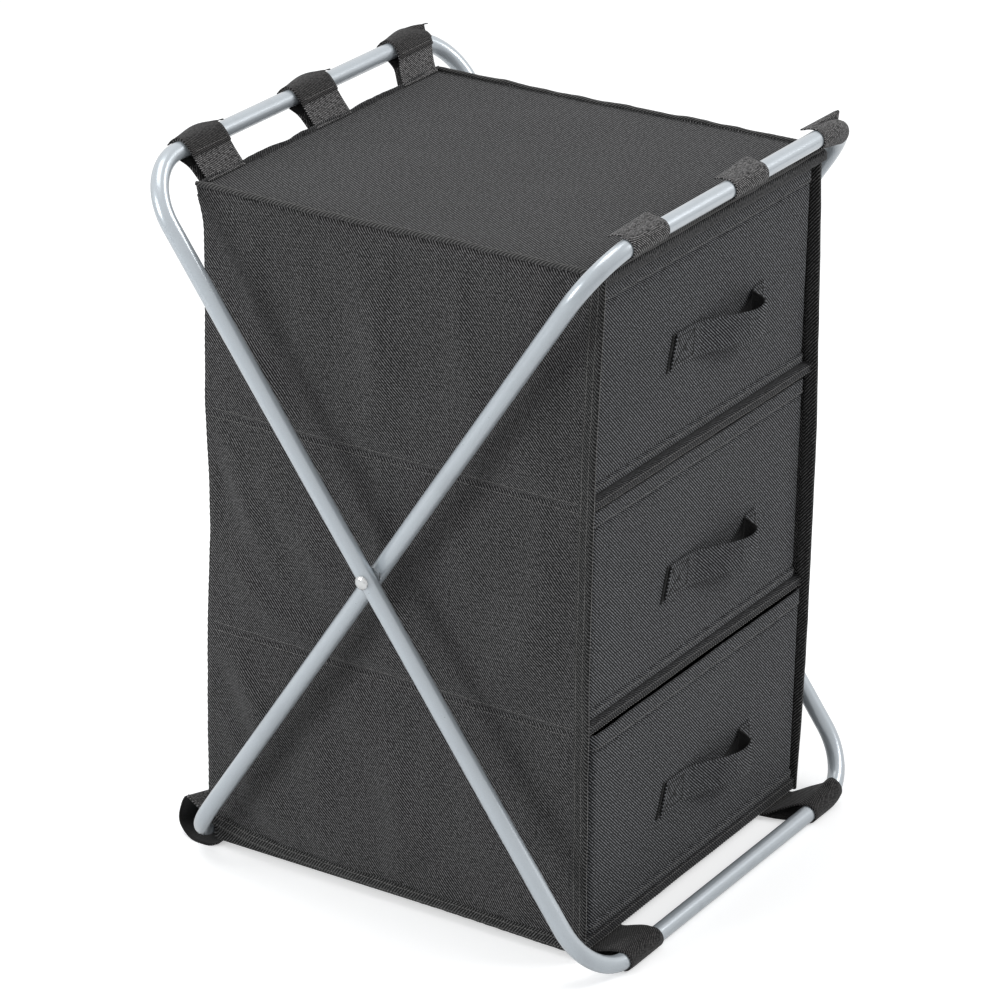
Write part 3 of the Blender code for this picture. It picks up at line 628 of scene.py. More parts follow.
def loop_line(half_width, top_side, bend_steps=20, straight_steps=8):
    """Centreline of a closed loop of tube about the pivot."""
    leg = np.array([0.0, top_side * BAR_REACH, HALF_RISE]) / LEG_HALF
    flat = []
    bend = [k * (pi / 2) / bend_steps for k in range(bend_steps + 1)]
    for across_sign, along_sign in ((1, 1), (1, -1), (-1, -1), (-1, 1)):
        angles = bend if across_sign == along_sign else bend[::-1]
        corner = []
        for angle in angles:
            across = half_width - BEND_RADIUS + BEND_RADIUS * sin(angle)
            along = LEG_HALF - BEND_RADIUS + BEND_RADIUS * cos(angle)
            corner.append((across_sign * across, along_sign * along))
        if flat:
            start, end = flat[-1], corner[0]
            for k in range(1, straight_steps):
                t = k / straight_steps
                flat.append((start[0] + (end[0] - start[0]) * t, start[1] + (end[1] - start[1]) * t))
        flat += corner
    start, end = flat[-1], flat[0]
    for k in range(1, straight_steps):
        t = k / straight_steps
        flat.append((start[0] + (end[0] - start[0]) * t, start[1] + (end[1] - start[1]) * t))
    pivot = np.array([0.0, 0.0, PIVOT_Z])
    return np.array([pivot + np.array([a, 0, 0]) + leg * b for a, b in flat])


def build_frame():
    """Both loops as fine tube, and the plated rivets and washers."""
    for name, half_width, top_side, body in (
            ("frame_a_tube", OUTER_LOOP, 1, "frame_a"), ("frame_b_tube", INNER_LOOP, -1, "cabinet")):
        sweep(name + "_fine", loop_line(half_width, top_side), TUBE_RADIUS, 32, PAINT, body,
              [name], closed=True)
    for name in ("pivot_rivet_left", "pivot_rivet_right", "pivot_washer_left", "pivot_washer_right"):
        dress(name, ZINC)


def dress(name, material):
    """Give a CAD node a better material."""
    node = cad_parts[name]
    node.data.materials.clear()
    node.data.materials.append(material)


# Cabinet cloth

front_shift = {
    -1: smooth_curve((0.0, 0.022, 0.096, 0.277, 0.323, 0.447, 0.53, 0.587, 0.61),
                     (-0.0003, -0.0004, 0.0010, 0.0038, 0.0038, 0.0034, 0.0010, -0.0012, -0.0012), 0.02),
    1: smooth_curve((0.0, 0.018, 0.0545, 0.153, 0.361, 0.406, 0.505, 0.593, 0.61),
                    (0.0003, 0.0003, -0.0012, -0.0026, -0.0017, 0.0004, 0.0033, 0.0072, 0.0075), 0.016),
}
back_shift = {
    -1: smooth_curve((0.0, 0.056, 0.13, 0.219, 0.30, 0.349, 0.42, 0.50, 0.575, 0.592, 0.604, 0.61),
                     (0.0, 0.0030, 0.0030, 0.0018, -0.0022, -0.0015, 0.0018, 0.0006, 0.0004, 0.0050, 0.0092,
                      0.0100),
                     0.006),
    1: smooth_curve((0.0, 0.07, 0.16, 0.23, 0.33, 0.38, 0.45, 0.52, 0.575, 0.592, 0.604, 0.61),
                    (0.0, 0.0024, 0.0026, 0.0010, -0.0016, -0.0020, 0.0012, 0.0004, 0.0002, 0.0040, 0.0080,
                     0.0086),
                    0.006),
}
bottom_edge = smooth_curve((0.0, 0.15, 0.3, 0.6, 0.8, 0.93, 1.0),
                           (0.0058, 0.0066, 0.0078, 0.0088, 0.0105, 0.0150, 0.0215), 0.03)
top_edge = smooth_curve((0.0, 0.3, 0.6, 0.85, 1.0), (0.6034, 0.6052, 0.6038, 0.6062, 0.6078), 0.05)
seam_lines = (
    lambda part: 0.2082 + 0.0060 * part,
    lambda part: 0.4072 + 0.0036 * part,
)


def front_y(z):
    """Front plane of the cabinet."""
    return FRONT_Y - LEAN * (z - BOTTOM_Z) / HEIGHT


def panel_y(side, part, z):
    """Place between the front and back edges of a side panel."""
    front = front_y(z) + front_shift[side](z)
    back = front_y(z) + DEPTH + back_shift[side](z)
    return front + (back - front) * part


def panel_folds(side):
    """Soft creases of a side panel: start, end, half width and height, in shares of depth and metres."""
    if side < 0:
        return (
            (0.97, 0.400, 0.86, 0.300, 0.016, 0.0022),
            (0.92, 0.395, 0.62, 0.250, 0.020, 0.0016),
            (0.70, 0.400, 0.50, 0.330, 0.014, 0.0010),
            (0.60, 0.235, 0.86, 0.330, 0.018, -0.0014),
            (0.40, 0.385, 0.22, 0.290, 0.016, 0.0012),
            (0.16, 0.390, 0.32, 0.240, 0.018, -0.0010),
            (0.98, 0.590, 0.80, 0.500, 0.016, 0.0020),
            (0.93, 0.560, 0.72, 0.430, 0.018, -0.0012),
            (0.66, 0.590, 0.50, 0.470, 0.020, 0.0012),
            (0.40, 0.590, 0.26, 0.450, 0.018, 0.0010),
            (0.12, 0.570, 0.22, 0.440, 0.015, -0.0010),
            (0.97, 0.200, 0.80, 0.110, 0.016, 0.0020),
            (0.90, 0.060, 0.66, 0.160, 0.018, -0.0014),
            (0.62, 0.190, 0.44, 0.080, 0.020, 0.0014),
            (0.34, 0.180, 0.22, 0.060, 0.016, 0.0010),
            (0.12, 0.190, 0.26, 0.090, 0.014, -0.0009),
            (0.50, 0.035, 0.34, 0.110, 0.016, 0.0012),
        )
    return tuple((1.0 - a * 0.93, b, 1.0 - c * 0.93, d, e * 1.1, f * 0.9) for a, b, c, d, e, f in (
        (0.97, 0.400, 0.84, 0.290, 0.016, 0.0018),
        (0.80, 0.235, 0.60, 0.350, 0.018, -0.0012),
        (0.48, 0.395, 0.30, 0.260, 0.020, 0.0014),
        (0.20, 0.240, 0.10, 0.340, 0.014, 0.0010),
        (0.95, 0.580, 0.74, 0.470, 0.018, 0.0018),
        (0.60, 0.430, 0.40, 0.560, 0.018, -0.0012),
        (0.30, 0.580, 0.16, 0.450, 0.016, 0.0012),
        (0.96, 0.195, 0.78, 0.070, 0.016, 0.0018),
        (0.60, 0.040, 0.44, 0.160, 0.018, 0.0014),
        (0.30, 0.190, 0.16, 0.080, 0.016, -0.0010),
    ))


def fold_field(part, z, folds):
    """Sum of soft creases at each place of a panel."""
    total = np.zeros_like(z)
    y = part * DEPTH
    for start_part, start_z, end_part, end_z, width, height in folds:
        a = np.array([start_part * DEPTH, start_z])
        b = np.array([end_part * DEPTH, end_z])
        d = b - a
        length = np.linalg.norm(d)
        d /= length
        along = ((y - a[0]) * d[0] + (z - a[1]) * d[1]) / length
        off = (y - a[0]) * -d[1] + (z - a[1]) * d[0]
        off = off + 0.25 * width * np.sin(along * 5.0)
        fade = np.sin(pi * np.clip(along * 0.9 + 0.05, 0, 1)) ** 0.8 * (along > -0.05) * (along < 1.05)
        ridge = np.exp(-(off / width) ** 2) - 0.45 * np.exp(-((off - 1.3 * width) / width) ** 2)
        total += height * fade * ridge
    return total


PANEL_COLUMNS = 108
PANEL_ROWS = (56, 54, 54)
HEM_THREAD_LIFT = 0.0016

# Cloth simulation of the side panels, on a coarser grid, and the share of its movement that is kept
SETTLE_COLUMNS = 55
SETTLE_ROWS = (29, 28, 28)
SETTLE_FRAMES = 26
SETTLE_SHARE = 0.4


def panel_lattice(columns, rows_of_bay):
    """Shares of depth, heights and bay shares of a side panel's grid."""
    part = np.linspace(0, 1, columns)
    lines = [bottom_edge(part), seam_lines[0](part), seam_lines[1](part), top_edge(part)]
    z_rows = []
    bay_rows = []
    for bay, rows in enumerate(rows_of_bay):
        for row in range(0 if bay == 0 else 1, rows + 1):
            t = row / rows
            z_rows.append(lines[bay] + (lines[bay + 1] - lines[bay]) * t)
            bay_rows.append(np.full(columns, t))
    z = np.array(z_rows)
    bay_share = np.array(bay_rows)
    parts = np.broadcast_to(part, z.shape)
    return parts, z, bay_share


def panel_belly(side, part, z, bay_share):
    """How far the cloth of a side panel stands out of its plane."""
    room = DEPTH * np.minimum(part, 1 - part)
    edge = ease((room - 0.012) / 0.05)
    belly = np.sin(pi * bay_share) ** 0.8 * edge
    broad = 0.0052 + 0.0016 * waves(11 + side, part * DEPTH, z, 0.16, 2)
    rough = 0.00035 * waves(31 + side, part * DEPTH, z, 0.030, 2)
    held = ease(np.minimum(bay_share, 1 - bay_share) / 0.12)
    folds = 1.5 * fold_field(part, z, panel_folds(side)) * ease(room / 0.012) * held
    pucker = 0.00028 * np.sin(2 * pi * part * DEPTH / 0.0072 + 3 * waves(51 + side, part * DEPTH, z, 0.05, 1))
    near_seam = np.exp(-(np.minimum(bay_share, 1 - bay_share) * 0.19 / 0.006) ** 2)
    crease = -0.0011 * np.exp(-(np.minimum(bay_share, 1 - bay_share) * 0.19 / 0.0016) ** 2)
    return belly * broad + rough * held + folds + (pucker * near_seam + crease) * ease(room / 0.01)


def settle(side, part, z, bay_share, out):
    """Let the cloth of a side panel sag and swell between its seams, and give how far it then stands out."""
    rows, columns = z.shape
    y = panel_y(side, part, z)
    points = np.stack([side * (HALF_WIDTH + out), y, z], axis=2).reshape(-1, 3)
    index = np.arange(rows * columns).reshape(rows, columns)
    faces = np.stack([index[:-1, :-1].ravel(), index[:-1, 1:].ravel(),
                      index[1:, 1:].ravel(), index[1:, :-1].ravel()], axis=1)
    if side > 0:
        faces = faces[:, ::-1]
    mesh = bpy.data.meshes.new("settle")
    mesh.from_pydata([tuple(p) for p in points], [], [tuple(int(i) for i in f) for f in faces])
    thing = bpy.data.objects.new("settle", mesh)
    bpy.context.scene.collection.objects.link(thing)
    pins = thing.vertex_groups.new(name="pins")
    held = (bay_share < 1e-6) | (bay_share > 1 - 1e-6) | (part < 0.035) | (part > 0.972)
    pins.add([int(i) for i in index[held]], 1.0, "REPLACE")
    soft = thing.modifiers.new("soft", "CLOTH")
    settings = soft.settings
    settings.quality = 5
    settings.mass = 0.2
    settings.tension_stiffness = 12.0
    settings.compression_stiffness = 12.0
    settings.shear_stiffness = 6.0
    settings.bending_stiffness = 1.2
    settings.shrink_min = -0.014
    settings.shrink_max = -0.014
    settings.vertex_group_mass = "pins"
    settings.pin_stiffness = 1.0
    settings.use_pressure = False
    settings.effector_weights.gravity = 0.35
    soft.point_cache.frame_start = 1
    soft.point_cache.frame_end = SETTLE_FRAMES
    scene = bpy.context.scene
    for step in range(1, SETTLE_FRAMES + 1):
        scene.frame_set(step)
    seen = thing.evaluated_get(bpy.context.evaluated_depsgraph_get())
    made = np.array([v.co for v in seen.data.vertices], float)
    bpy.data.objects.remove(thing, do_unlink=True)
    bpy.data.meshes.remove(mesh)
    scene.frame_set(1)
    stands = side * made[:, 0].reshape(rows, columns) - HALF_WIDTH
    return np.clip(stands, -0.0005, 0.0098)


def between(field, rows, columns):
    """Field sampled at other even counts of rows and columns."""
    old_rows = np.linspace(0, 1, field.shape[0])
    old_columns = np.linspace(0, 1, field.shape[1])
    tall = np.stack([np.interp(np.linspace(0, 1, rows), old_rows, field[:, k])
                     for k in range(field.shape[1])], axis=1)
    new_columns = np.linspace(0, 1, columns)
    return np.stack([np.interp(new_columns, old_columns, tall[k]) for k in range(rows)], axis=0)


class SidePanel:
    """Finished surface of a side panel, which its hems and stitches follow."""

    def __init__(self, side):
        self.side = side
        self.part, self.z, share = panel_lattice(PANEL_COLUMNS, PANEL_ROWS)
        self.out = panel_belly(side, self.part, self.z, share)
        part, z, coarse_share = panel_lattice(SETTLE_COLUMNS, SETTLE_ROWS)
        start = panel_belly(side, part, z, coarse_share)
        moved = settle(side, part, z, coarse_share, start) - start
        kept = SETTLE_SHARE * between(moved, self.z.shape[0], PANEL_COLUMNS)
        self.out = np.clip(self.out + kept, -0.0011, 0.0105)
        self.y = panel_y(side, self.part, self.z)
        x = side * (HALF_WIDTH - PANEL_CLOTH / 2 + self.out)
        self.grid = np.stack([x, self.y, self.z], axis=2)

    def at(self, part, row):
        """Point of the outer face at a share of depth and a row, whole or not."""
        part = np.clip(np.asarray(part, float), 0, 1) * (PANEL_COLUMNS - 1)
        row = np.clip(np.asarray(row, float) + np.zeros_like(part), 0, self.z.shape[0] - 1)
        i = np.minimum(row.astype(int), self.z.shape[0] - 2)
        j = np.minimum(part.astype(int), PANEL_COLUMNS - 2)
        u, v = (part - j)[:, None], (row - i)[:, None]
        g = self.grid
        point = (g[i, j] * (1 - u) * (1 - v) + g[i, j + 1] * u * (1 - v)
                 + g[i + 1, j] * (1 - u) * v + g[i + 1, j + 1] * u * v)
        point[:, 0] += self.side * PANEL_CLOTH / 2
        return point

    def row_of(self, part, z):
        """Row at which the panel has a height."""
        part = np.asarray(part, float)
        z = np.asarray(z, float) + np.zeros_like(part)
        column = np.clip((part * (PANEL_COLUMNS - 1)).round().astype(int), 0, PANEL_COLUMNS - 1)
        rows = np.arange(self.z.shape[0])
        return np.array([np.interp(height, self.z[:, c], rows) for height, c in zip(z, column)])


def side_cloth(side, word):
    """One side panel with its hem, seams and stitches."""
    panel = SidePanel(side)
    order = slice(None) if side > 0 else slice(None, None, -1)
    grid = panel.grid[:, order]
    uv = map_of(-grid[:, :, 1], grid[:, :, 2])
    main = cloth("side_cloth_" + word, grid, uv, PANEL_CLOTH, CLOTH["side_" + word], "cabinet",
                 ["side_panel_" + word])
    outward = np.array([side, 0.0, 0.0])
    seams = []
    part = np.linspace(0.02, 0.985, 160)
    for row in np.cumsum(PANEL_ROWS)[:2]:
        for shift in (-1.15, 0.95):
            seams.append(seam_on(panel.at(part, row + shift), outward))
    stitches("side_seam_threads_" + word, seams, "cabinet", CLOTH["thread"], radius=0.00032)
    hem_parts = np.linspace(0.012, 0.995, 150)
    heights = np.array([-0.0004, 0.001, 0.004, 0.0065, 0.009, 0.0118, 0.0128])
    rows = []
    for height in heights:
        z = bottom_edge(hem_parts) + height
        line = panel.at(hem_parts, panel.row_of(hem_parts, z))
        line[:, 2] = z
        puff = 0.0007 + 0.0005 * np.sin(pi * np.clip(height / 0.0125, 0, 1))
        puff = puff + 0.00025 * waves(71 + side, hem_parts * DEPTH, hem_parts * 0, 0.016, 2)
        line[:, 0] += side * puff
        rows.append(line)
    hem = np.array(rows)[:, order]
    hem_uv = map_of(-hem[:, :, 1], -hem[:, :, 2])
    piece = cloth("side_hem_" + word, hem, hem_uv, BINDING_CLOTH, CLOTH["binding"], "cabinet")
    seams = []
    for height in (0.0030, 0.0105):
        z = bottom_edge(hem_parts) + height
        line = panel.at(hem_parts, panel.row_of(hem_parts, z))
        line[:, 2] = z
        line[:, 0] += side * HEM_THREAD_LIFT
        seams.append(seam_on(line, outward))
    threads = stitches("side_hem_threads_" + word, seams, "cabinet", CLOTH["thread"])


def front_binding(side, word):
    """Folded strip over the front edge of a side panel, with its two rows of stitches."""
    z = np.linspace(0.0066, 0.6042, 170)
    edge = front_y(z) + front_shift[side](z)
    wave = 0.00035 * waves(91 + side, z, z * 0, 0.05, 3)
    inner = INNER_HALF - 0.0008
    outer = HALF_WIDTH + 0.0008
    section = [(inner, 0.0100), (inner, 0.0060), (inner, 0.0020), (inner + 0.0001, 0.0002),
               (inner + 0.0006, -0.0008), (inner + 0.0014, -0.0012), (outer - 0.0012, -0.0012),
               (outer - 0.0004, -0.0007), (outer, 0.0002), (outer + 0.0001, 0.0020), (outer + 0.0002, 0.0050),
               (outer + 0.0003, 0.0085), (outer + 0.0001, 0.0112), (outer - 0.0001, 0.0121)]
    grid = np.array([[(side * (x + w * (x > HALF_WIDTH)), y + e + w * 0.6, h) for x, y in section]
                     for h, e, w in zip(z, edge, wave)])
    if side < 0:
        grid = grid[:, ::-1]
    arc = arc_lengths(section)
    arc = arc if side > 0 else arc[::-1]
    uv = map_of(-arc, z[:, None])
    strip = cloth("front_binding_cloth_" + word, grid, uv, BINDING_CLOTH, CLOTH["binding"], "cabinet",
                  ["front_binding_" + word])
    seams = []
    proud, front_inset, size = (0.0007, 0.0006, 0.0003) if side < 0 else (0.0001, 0.0019, 0.0002)
    for depth, out in ((0.0092, proud + 0.0001), (0.0032, proud)):
        line = np.stack([side * (outer + out - 0.0001 + wave), edge + depth + wave * 0.6, z], axis=1)
        seams.append(seam_on(line, [side, 0.0, 0.0]))
    front_x = np.full_like(z, side * (HALF_WIDTH - front_inset))
    front = np.stack([front_x, edge - 0.0018 + wave * 0.6, z], axis=1)
    seams.append(seam_on(front, [0.0, -1.0, 0.0]))
    threads = stitches("front_binding_threads_" + word, seams, "cabinet", CLOTH["thread"], radius=size)


def back_cloth():
    """Back panel with a few broad folds, a bottom hem and corner seams."""
    columns, rows = 90, 150
    x = np.linspace(-1, 1, columns) * (INNER_HALF - 0.0006)
    t = np.linspace(0, 1, rows)
    z = BOTTOM_Z + 0.0012 + t * (HEIGHT - 0.0024)
    xx, zz = np.meshgrid(x, z)
    room = ease((INNER_HALF - np.abs(xx)) / 0.05) * np.sin(pi * t)[:, None] ** 0.7
    swell = 0.0030 * room * (1 + 0.5 * waves(201, xx, zz, 0.22, 2))
    swell = swell + 0.0003 * waves(203, xx, zz, 0.03, 2) * room
    part = (xx + INNER_HALF) / DEPTH
    swell = swell + room * fold_field(part, zz, (
        (0.05, 0.560, 0.25, 0.420, 0.020, 0.0016), (0.86, 0.570, 0.66, 0.430, 0.022, 0.0016),
        (0.10, 0.080, 0.30, 0.240, 0.020, 0.0014), (0.82, 0.090, 0.60, 0.250, 0.020, 0.0014),
        (0.45, 0.360, 0.50, 0.200, 0.022, -0.0012), (0.36, 0.520, 0.50, 0.380, 0.020, 0.0010)))
    for height in (LOWER_SHELF[0] + 0.0045, UPPER_SHELF[0] + 0.0045):
        swell = swell - 0.0010 * np.exp(-((zz - height) / 0.004) ** 2)
    share = (xx + INNER_HALF) / (2 * INNER_HALF)
    lean = (1 - share) * back_shift[-1](zz) + share * back_shift[1](zz)
    yy = front_y(zz) + DEPTH - PANEL_CLOTH / 2 - 0.0002 + np.maximum(swell, -0.0002) + np.maximum(lean, 0.0)
    grid = np.stack([xx, yy, zz], axis=2)[:, ::-1]
    uv = map_of(-grid[:, :, 0], grid[:, :, 2])
    panel = cloth("back_cloth", grid, uv, PANEL_CLOTH, CLOTH["side_left"], "cabinet",
                  ["back_panel"])
    seams = []
    outward = [0.0, 1.0, 0.0]

    def row_at(height):
        """Row of the grid nearest to a height."""
        return int(round((height - z[0]) / (z[-1] - z[0]) * (rows - 1)))

    line_x = np.linspace(-INNER_HALF + 0.004, INNER_HALF - 0.004, 120)
    for height in (0.0095, 0.0185, 0.5965, LOWER_SHELF[0] + 0.003, LOWER_SHELF[0] + 0.006,
                   UPPER_SHELF[0] + 0.003, UPPER_SHELF[0] + 0.006):
        row = row_at(height)
        y = np.interp(line_x, x, yy[row]) + PANEL_CLOTH / 2
        seams.append(seam_on(np.stack([line_x, y, np.full_like(line_x, z[row])], axis=1), outward))
    line_z = np.linspace(0.010, 0.598, 140)
    for px in (-INNER_HALF + 0.0055, INNER_HALF - 0.0055):
        y = np.array([np.interp(px, x, yy[row_at(height)]) for height in line_z]) + PANEL_CLOTH / 2
        seams.append(seam_on(np.stack([np.full_like(line_z, px), y, line_z], axis=1), outward))
    threads = stitches("back_threads", seams, "cabinet", CLOTH["thread"])
    for side, word in ((-1, "left"), (1, "right")):
        zc = np.linspace(0.024, 0.5985, 130)
        ridge = np.stack([side * (HALF_WIDTH - 0.0020 + 0.0003 * waves(221 + side, zc, zc * 0, 0.05, 2)),
                          front_y(zc) + DEPTH + back_shift[side](zc) + 0.0010, zc], axis=1)
        line, arc = resample(ridge, 0.0022)
        sweep("back_corner_seam_" + word, line, 0.0016, 10, CLOTH["binding"], "cabinet",
                            ripple=1 + 0.12 * np.sin(arc * 2 * pi / 0.0066))


def sleeve_end(name, side, low, high, front, back):
    """Cloth that closes one end of a sleeve over its board."""
    y = np.linspace(front + 0.001, back + 0.0005, 60)
    z = np.linspace(low + 0.0002, high - 0.0002, 6)
    yy, zz = np.meshgrid(y, z)
    grid = np.stack([np.full_like(yy, side * (HALF_WIDTH - 0.00205)), yy, zz], axis=2)
    uv = np.stack([yy, zz], axis=2)
    return cloth(name, grid, uv, 0.0005, CLOTH["binding"], "cabinet")


def sleeve_back(name, low, high, back):
    """Cloth that closes the back of a sleeve over its board."""
    x = np.linspace(-HALF_WIDTH + 0.0018, HALF_WIDTH - 0.0018, 60)
    z = np.linspace(low + 0.0002, high - 0.0002, 6)
    xx, zz = np.meshgrid(x, z)
    grid = np.stack([xx, np.full_like(xx, back + 0.0003), zz], axis=2)
    uv = np.stack([xx, zz], axis=2)
    return cloth(name, grid, uv, 0.0005, CLOTH["binding"], "cabinet")


def shelf_cloth(name, node, low, high, front, back, hem_lines, seed):
    """Sleeve of a shelf: top, soft nose and underside, with stitches near its front edge."""
    half = INNER_HALF - 0.0004
    radius = 0.0026
    top = high - COVER_CLOTH / 2
    under = low + COVER_CLOTH / 2
    face = front + COVER_CLOTH / 2
    profile = []
    for share in np.linspace(1, 0, 34):
        profile.append((face + radius + (back - face - radius) * share ** 1.6, top, 0))
    for angle in np.linspace(pi / 2, pi, 7)[1:]:
        profile.append((face + radius + radius * cos(angle), top - radius + radius * sin(angle), 1))
    steps = 7
    for k in range(1, steps):
        t = k / steps
        profile.append((face - 0.0003 * sin(pi * t), top - radius + (under + radius - top + radius) * t, 1))
    for angle in np.linspace(pi, 3 * pi / 2, 7):
        profile.append((face + radius + radius * cos(angle), under + radius + radius * sin(angle), 1))
    for share in np.linspace(0, 1, 20)[1:]:
        profile.append((face + radius + (back - face - radius) * share, under, 0))
    profile = np.array(profile)
    xs = np.linspace(-half, half, 130)
    wave = waves(seed, xs, xs * 0, 0.09, 3)
    ripple = waves(seed + 1, xs, xs * 0, 0.016, 2)
    rows = []
    for x, w, r in zip(xs, wave, ripple):
        line = profile.copy()
        nose = line[:, 2]
        y = line[:, 0] - nose * (0.00035 * w + 0.00012 * r) + nose * 0.0003
        z = line[:, 1] + nose * 0.0002 * w * (line[:, 1] < (low + high) / 2)
        rows.append(np.stack([np.full(len(y), x), y, z], axis=1))
    grid = np.array(rows).transpose(1, 0, 2)
    arc = arc_lengths(profile[:, :2])
    uv = map_of(xs, -arc[:, None])
    sleeve = cloth(name, grid, uv, COVER_CLOTH, CLOTH["shelf"], "cabinet", [node])
    seams = []
    for height in hem_lines:
        line = np.stack([xs, front + 0.0001 - 0.00035 * wave, np.full_like(xs, low + height)], axis=1)
        seams.append(seam_on(line, [0.0, -1.0, 0.0]))
    pieces = [stitches(name + "_threads", seams, "cabinet", CLOTH["thread"])]
    for side, word in ((-1, "left"), (1, "right")):
        pieces.append(sleeve_end(name + "_end_" + word, side, low, high, front, back))
    pieces.append(sleeve_back(name + "_back", low, high, back))


def shelf_cloths():
    """Sleeves of the bottom and both shelves."""
    rows = (
        ("bottom_cloth", "bottom_cover", (BOTTOM_Z, BAYS["bottom"][0]), 0.0, (0.0022, 0.0104), 301),
        ("lower_shelf_cloth", "lower_shelf_cover", LOWER_SHELF, SHELF_SETBACK, (0.0016, 0.0070), 311),
        ("upper_shelf_cloth", "upper_shelf_cover", UPPER_SHELF, SHELF_SETBACK, (0.0016, 0.0070), 321),
    )
    for name, node, (low, high), setback, hem_lines, seed in rows:
        back = front_y(high) + DEPTH - 0.0023
        shelf_cloth(name, node, low, high, front_y(low) + setback, back, hem_lines, seed)


TOP_OVERHANG = 0.0085


def top_height(x, y):
    """Height of the top cloth's upper face."""
    front = front_y(TOP_UNDER_Z)
    share = np.clip((y - front) / DEPTH, 0, 1)
    edge = ease((HALF_WIDTH - np.abs(x)) / 0.02)
    rise = np.interp(share, (0.0, 0.3, 0.6, 0.9, 1.0), (0.0, 0.0004, 0.0, 0.0006, 0.0010))
    calm = ease((y - front - 0.02) / 0.03)
    return TOP_Z + rise + edge * calm * (0.00035 * waves(401, x, y, 0.12, 3) + 0.0002)


def top_cloth():
    """Top cover over its board, folded down over the front edge."""
    half = HALF_WIDTH - 0.0010
    front = front_y(TOP_UNDER_Z)
    back = front_y(TOP_Z) + DEPTH + TOP_OVERHANG
    radius = 0.0028
    face = front + COVER_CLOTH / 2
    columns = 120
    xs = np.linspace(-half, half, columns)
    rows = []
    lines = []
    for share in np.linspace(1, 0, 90):
        y = face + radius + (back - face - radius) * share
        ys = np.full(columns, y)
        rows.append(np.stack([xs, ys, top_height(xs, ys) - COVER_CLOTH / 2], axis=1))
        lines.append(back - y)
    start = lines[-1]
    base = top_height(xs, np.full(columns, face + radius)) - COVER_CLOTH / 2
    for angle in np.linspace(pi / 2, pi, 7)[1:]:
        rows.append(np.stack([xs, np.full(columns, face + radius + radius * cos(angle)),
                              base - radius + radius * sin(angle)], axis=1))
        lines.append(start + radius * (angle - pi / 2))
    for z in (0.5995, 0.5975, 0.5960):
        rows.append(np.stack([xs, np.full(columns, face), np.full(columns, z)], axis=1))
        lines.append(lines[-1] + 0.002)
    under = TOP_UNDER_Z + COVER_CLOTH / 2
    for angle in np.linspace(pi, 3 * pi / 2, 6)[1:]:
        rows.append(np.stack([xs, np.full(columns, face + 0.0018 + 0.0018 * cos(angle)),
                              np.full(columns, under + 0.0018 + 0.0018 * sin(angle))], axis=1))
        lines.append(lines[-1] + 0.0006)
    for share in np.linspace(0, 1, 14)[1:]:
        rows.append(np.stack([xs, np.full(columns, face + 0.0018 + (back - face) * share - 0.002 * share),
                              np.full(columns, under)], axis=1))
        lines.append(lines[-1] + (back - face) / 13)
    grid = np.array(rows)
    lines = np.array(lines)
    uv = map_of(xs, -lines[:, None])
    cover = cloth("top_cloth", grid, uv, COVER_CLOTH, CLOTH["top"], "cabinet",
                  ["top_cover"])
    side_y = np.linspace(front + 0.006, back - 0.004, 130)
    front_x = np.linspace(-half + 0.004, half - 0.004, 120)
    paths = [(np.full_like(side_y, side * (half - 0.0035)), side_y) for side in (-1, 1)]
    paths.append((front_x, np.full_like(front_x, front + 0.0062)))
    seams = [seam_on(np.stack([x, y, top_height(x, y) + 0.00005], axis=1), [0.0, 0.0, 1.0]) for x, y in paths]
    threads = stitches("top_threads", seams, "cabinet", CLOTH["dark_thread"])
    hem_x = np.linspace(-half - 0.0004, half + 0.0004, 150)
    rise = np.linspace(0, 1, 7)[:, None]
    sway = waves(411, hem_x, hem_x * 0, 0.05, 3)
    height = 0.0056 + 0.0012 * waves(413, hem_x, hem_x * 0, 0.04, 2)
    hem_z = TOP_Z - 0.0004 + rise * height
    hem_y = back - 0.0012 + rise * (0.0011 * sway + 0.0006) + 0.0003 * sway
    hem = np.stack([np.broadcast_to(hem_x, hem_z.shape), hem_y, hem_z], axis=2)
    hem_uv = map_of(hem_x, hem_z)
    ridge = cloth("top_back_hem", hem, hem_uv, 0.0013, CLOTH["top"], "cabinet")


def top_piping():
    """Soft sewn roll along the left, front and right edges of the top."""
    side_x = HALF_WIDTH - 0.0010
    front = front_y(TOP_UNDER_Z) + 0.0022
    corner = 0.008
    arc = np.linspace(0, pi / 2, 9)
    back_y = 0.1880
    left = [(-side_x, back_y)]
    left += [(-side_x, y) for y in np.linspace(back_y - 0.01, front + corner + 0.01, 30)]
    left += [(-side_x + corner - corner * cos(a), front + corner - corner * sin(a)) for a in arc]
    line = left + [(-x, y) for x, y in reversed(left)]
    flat, length = resample(np.array(line), 0.0016)
    x, y = flat[:, 0], flat[:, 1]
    share = np.clip((y - front) / (back_y - front), 0, 1)
    z = 0.6064 + np.interp(share, (0, 0.3, 0.6, 0.9, 1.0), (0.0, 0.0010, 0.0002, 0.0016, 0.0022))
    z = z + 0.0005 * waves(501, length, length * 0, 0.045, 3)
    sway = 0.0006 * waves(503, length, length * 0, 0.06, 2)
    x = x + np.sign(x) * sway * (np.abs(x) > side_x - 0.002)
    ripple = 1 + 0.012 * np.sin(2 * pi * length / 0.0031) + 0.08 * waves(505, length, length * 0, 0.03, 2)
    ends = np.minimum(length, length[-1] - length)
    ripple = ripple * (1 - 0.25 * np.exp(-(ends / 0.004) ** 2))
    right_side = ease((x - side_x + corner) / corner)
    z = z - 0.0012 * right_side
    ripple = ripple * (1 - 0.25 * right_side)
    sweep("top_edge_roll", np.stack([x, y, z], axis=1), 0.00245, 14, CLOTH["piping"], "cabinet",
          ["top_edge_piping"], ripple=ripple)


# Straps

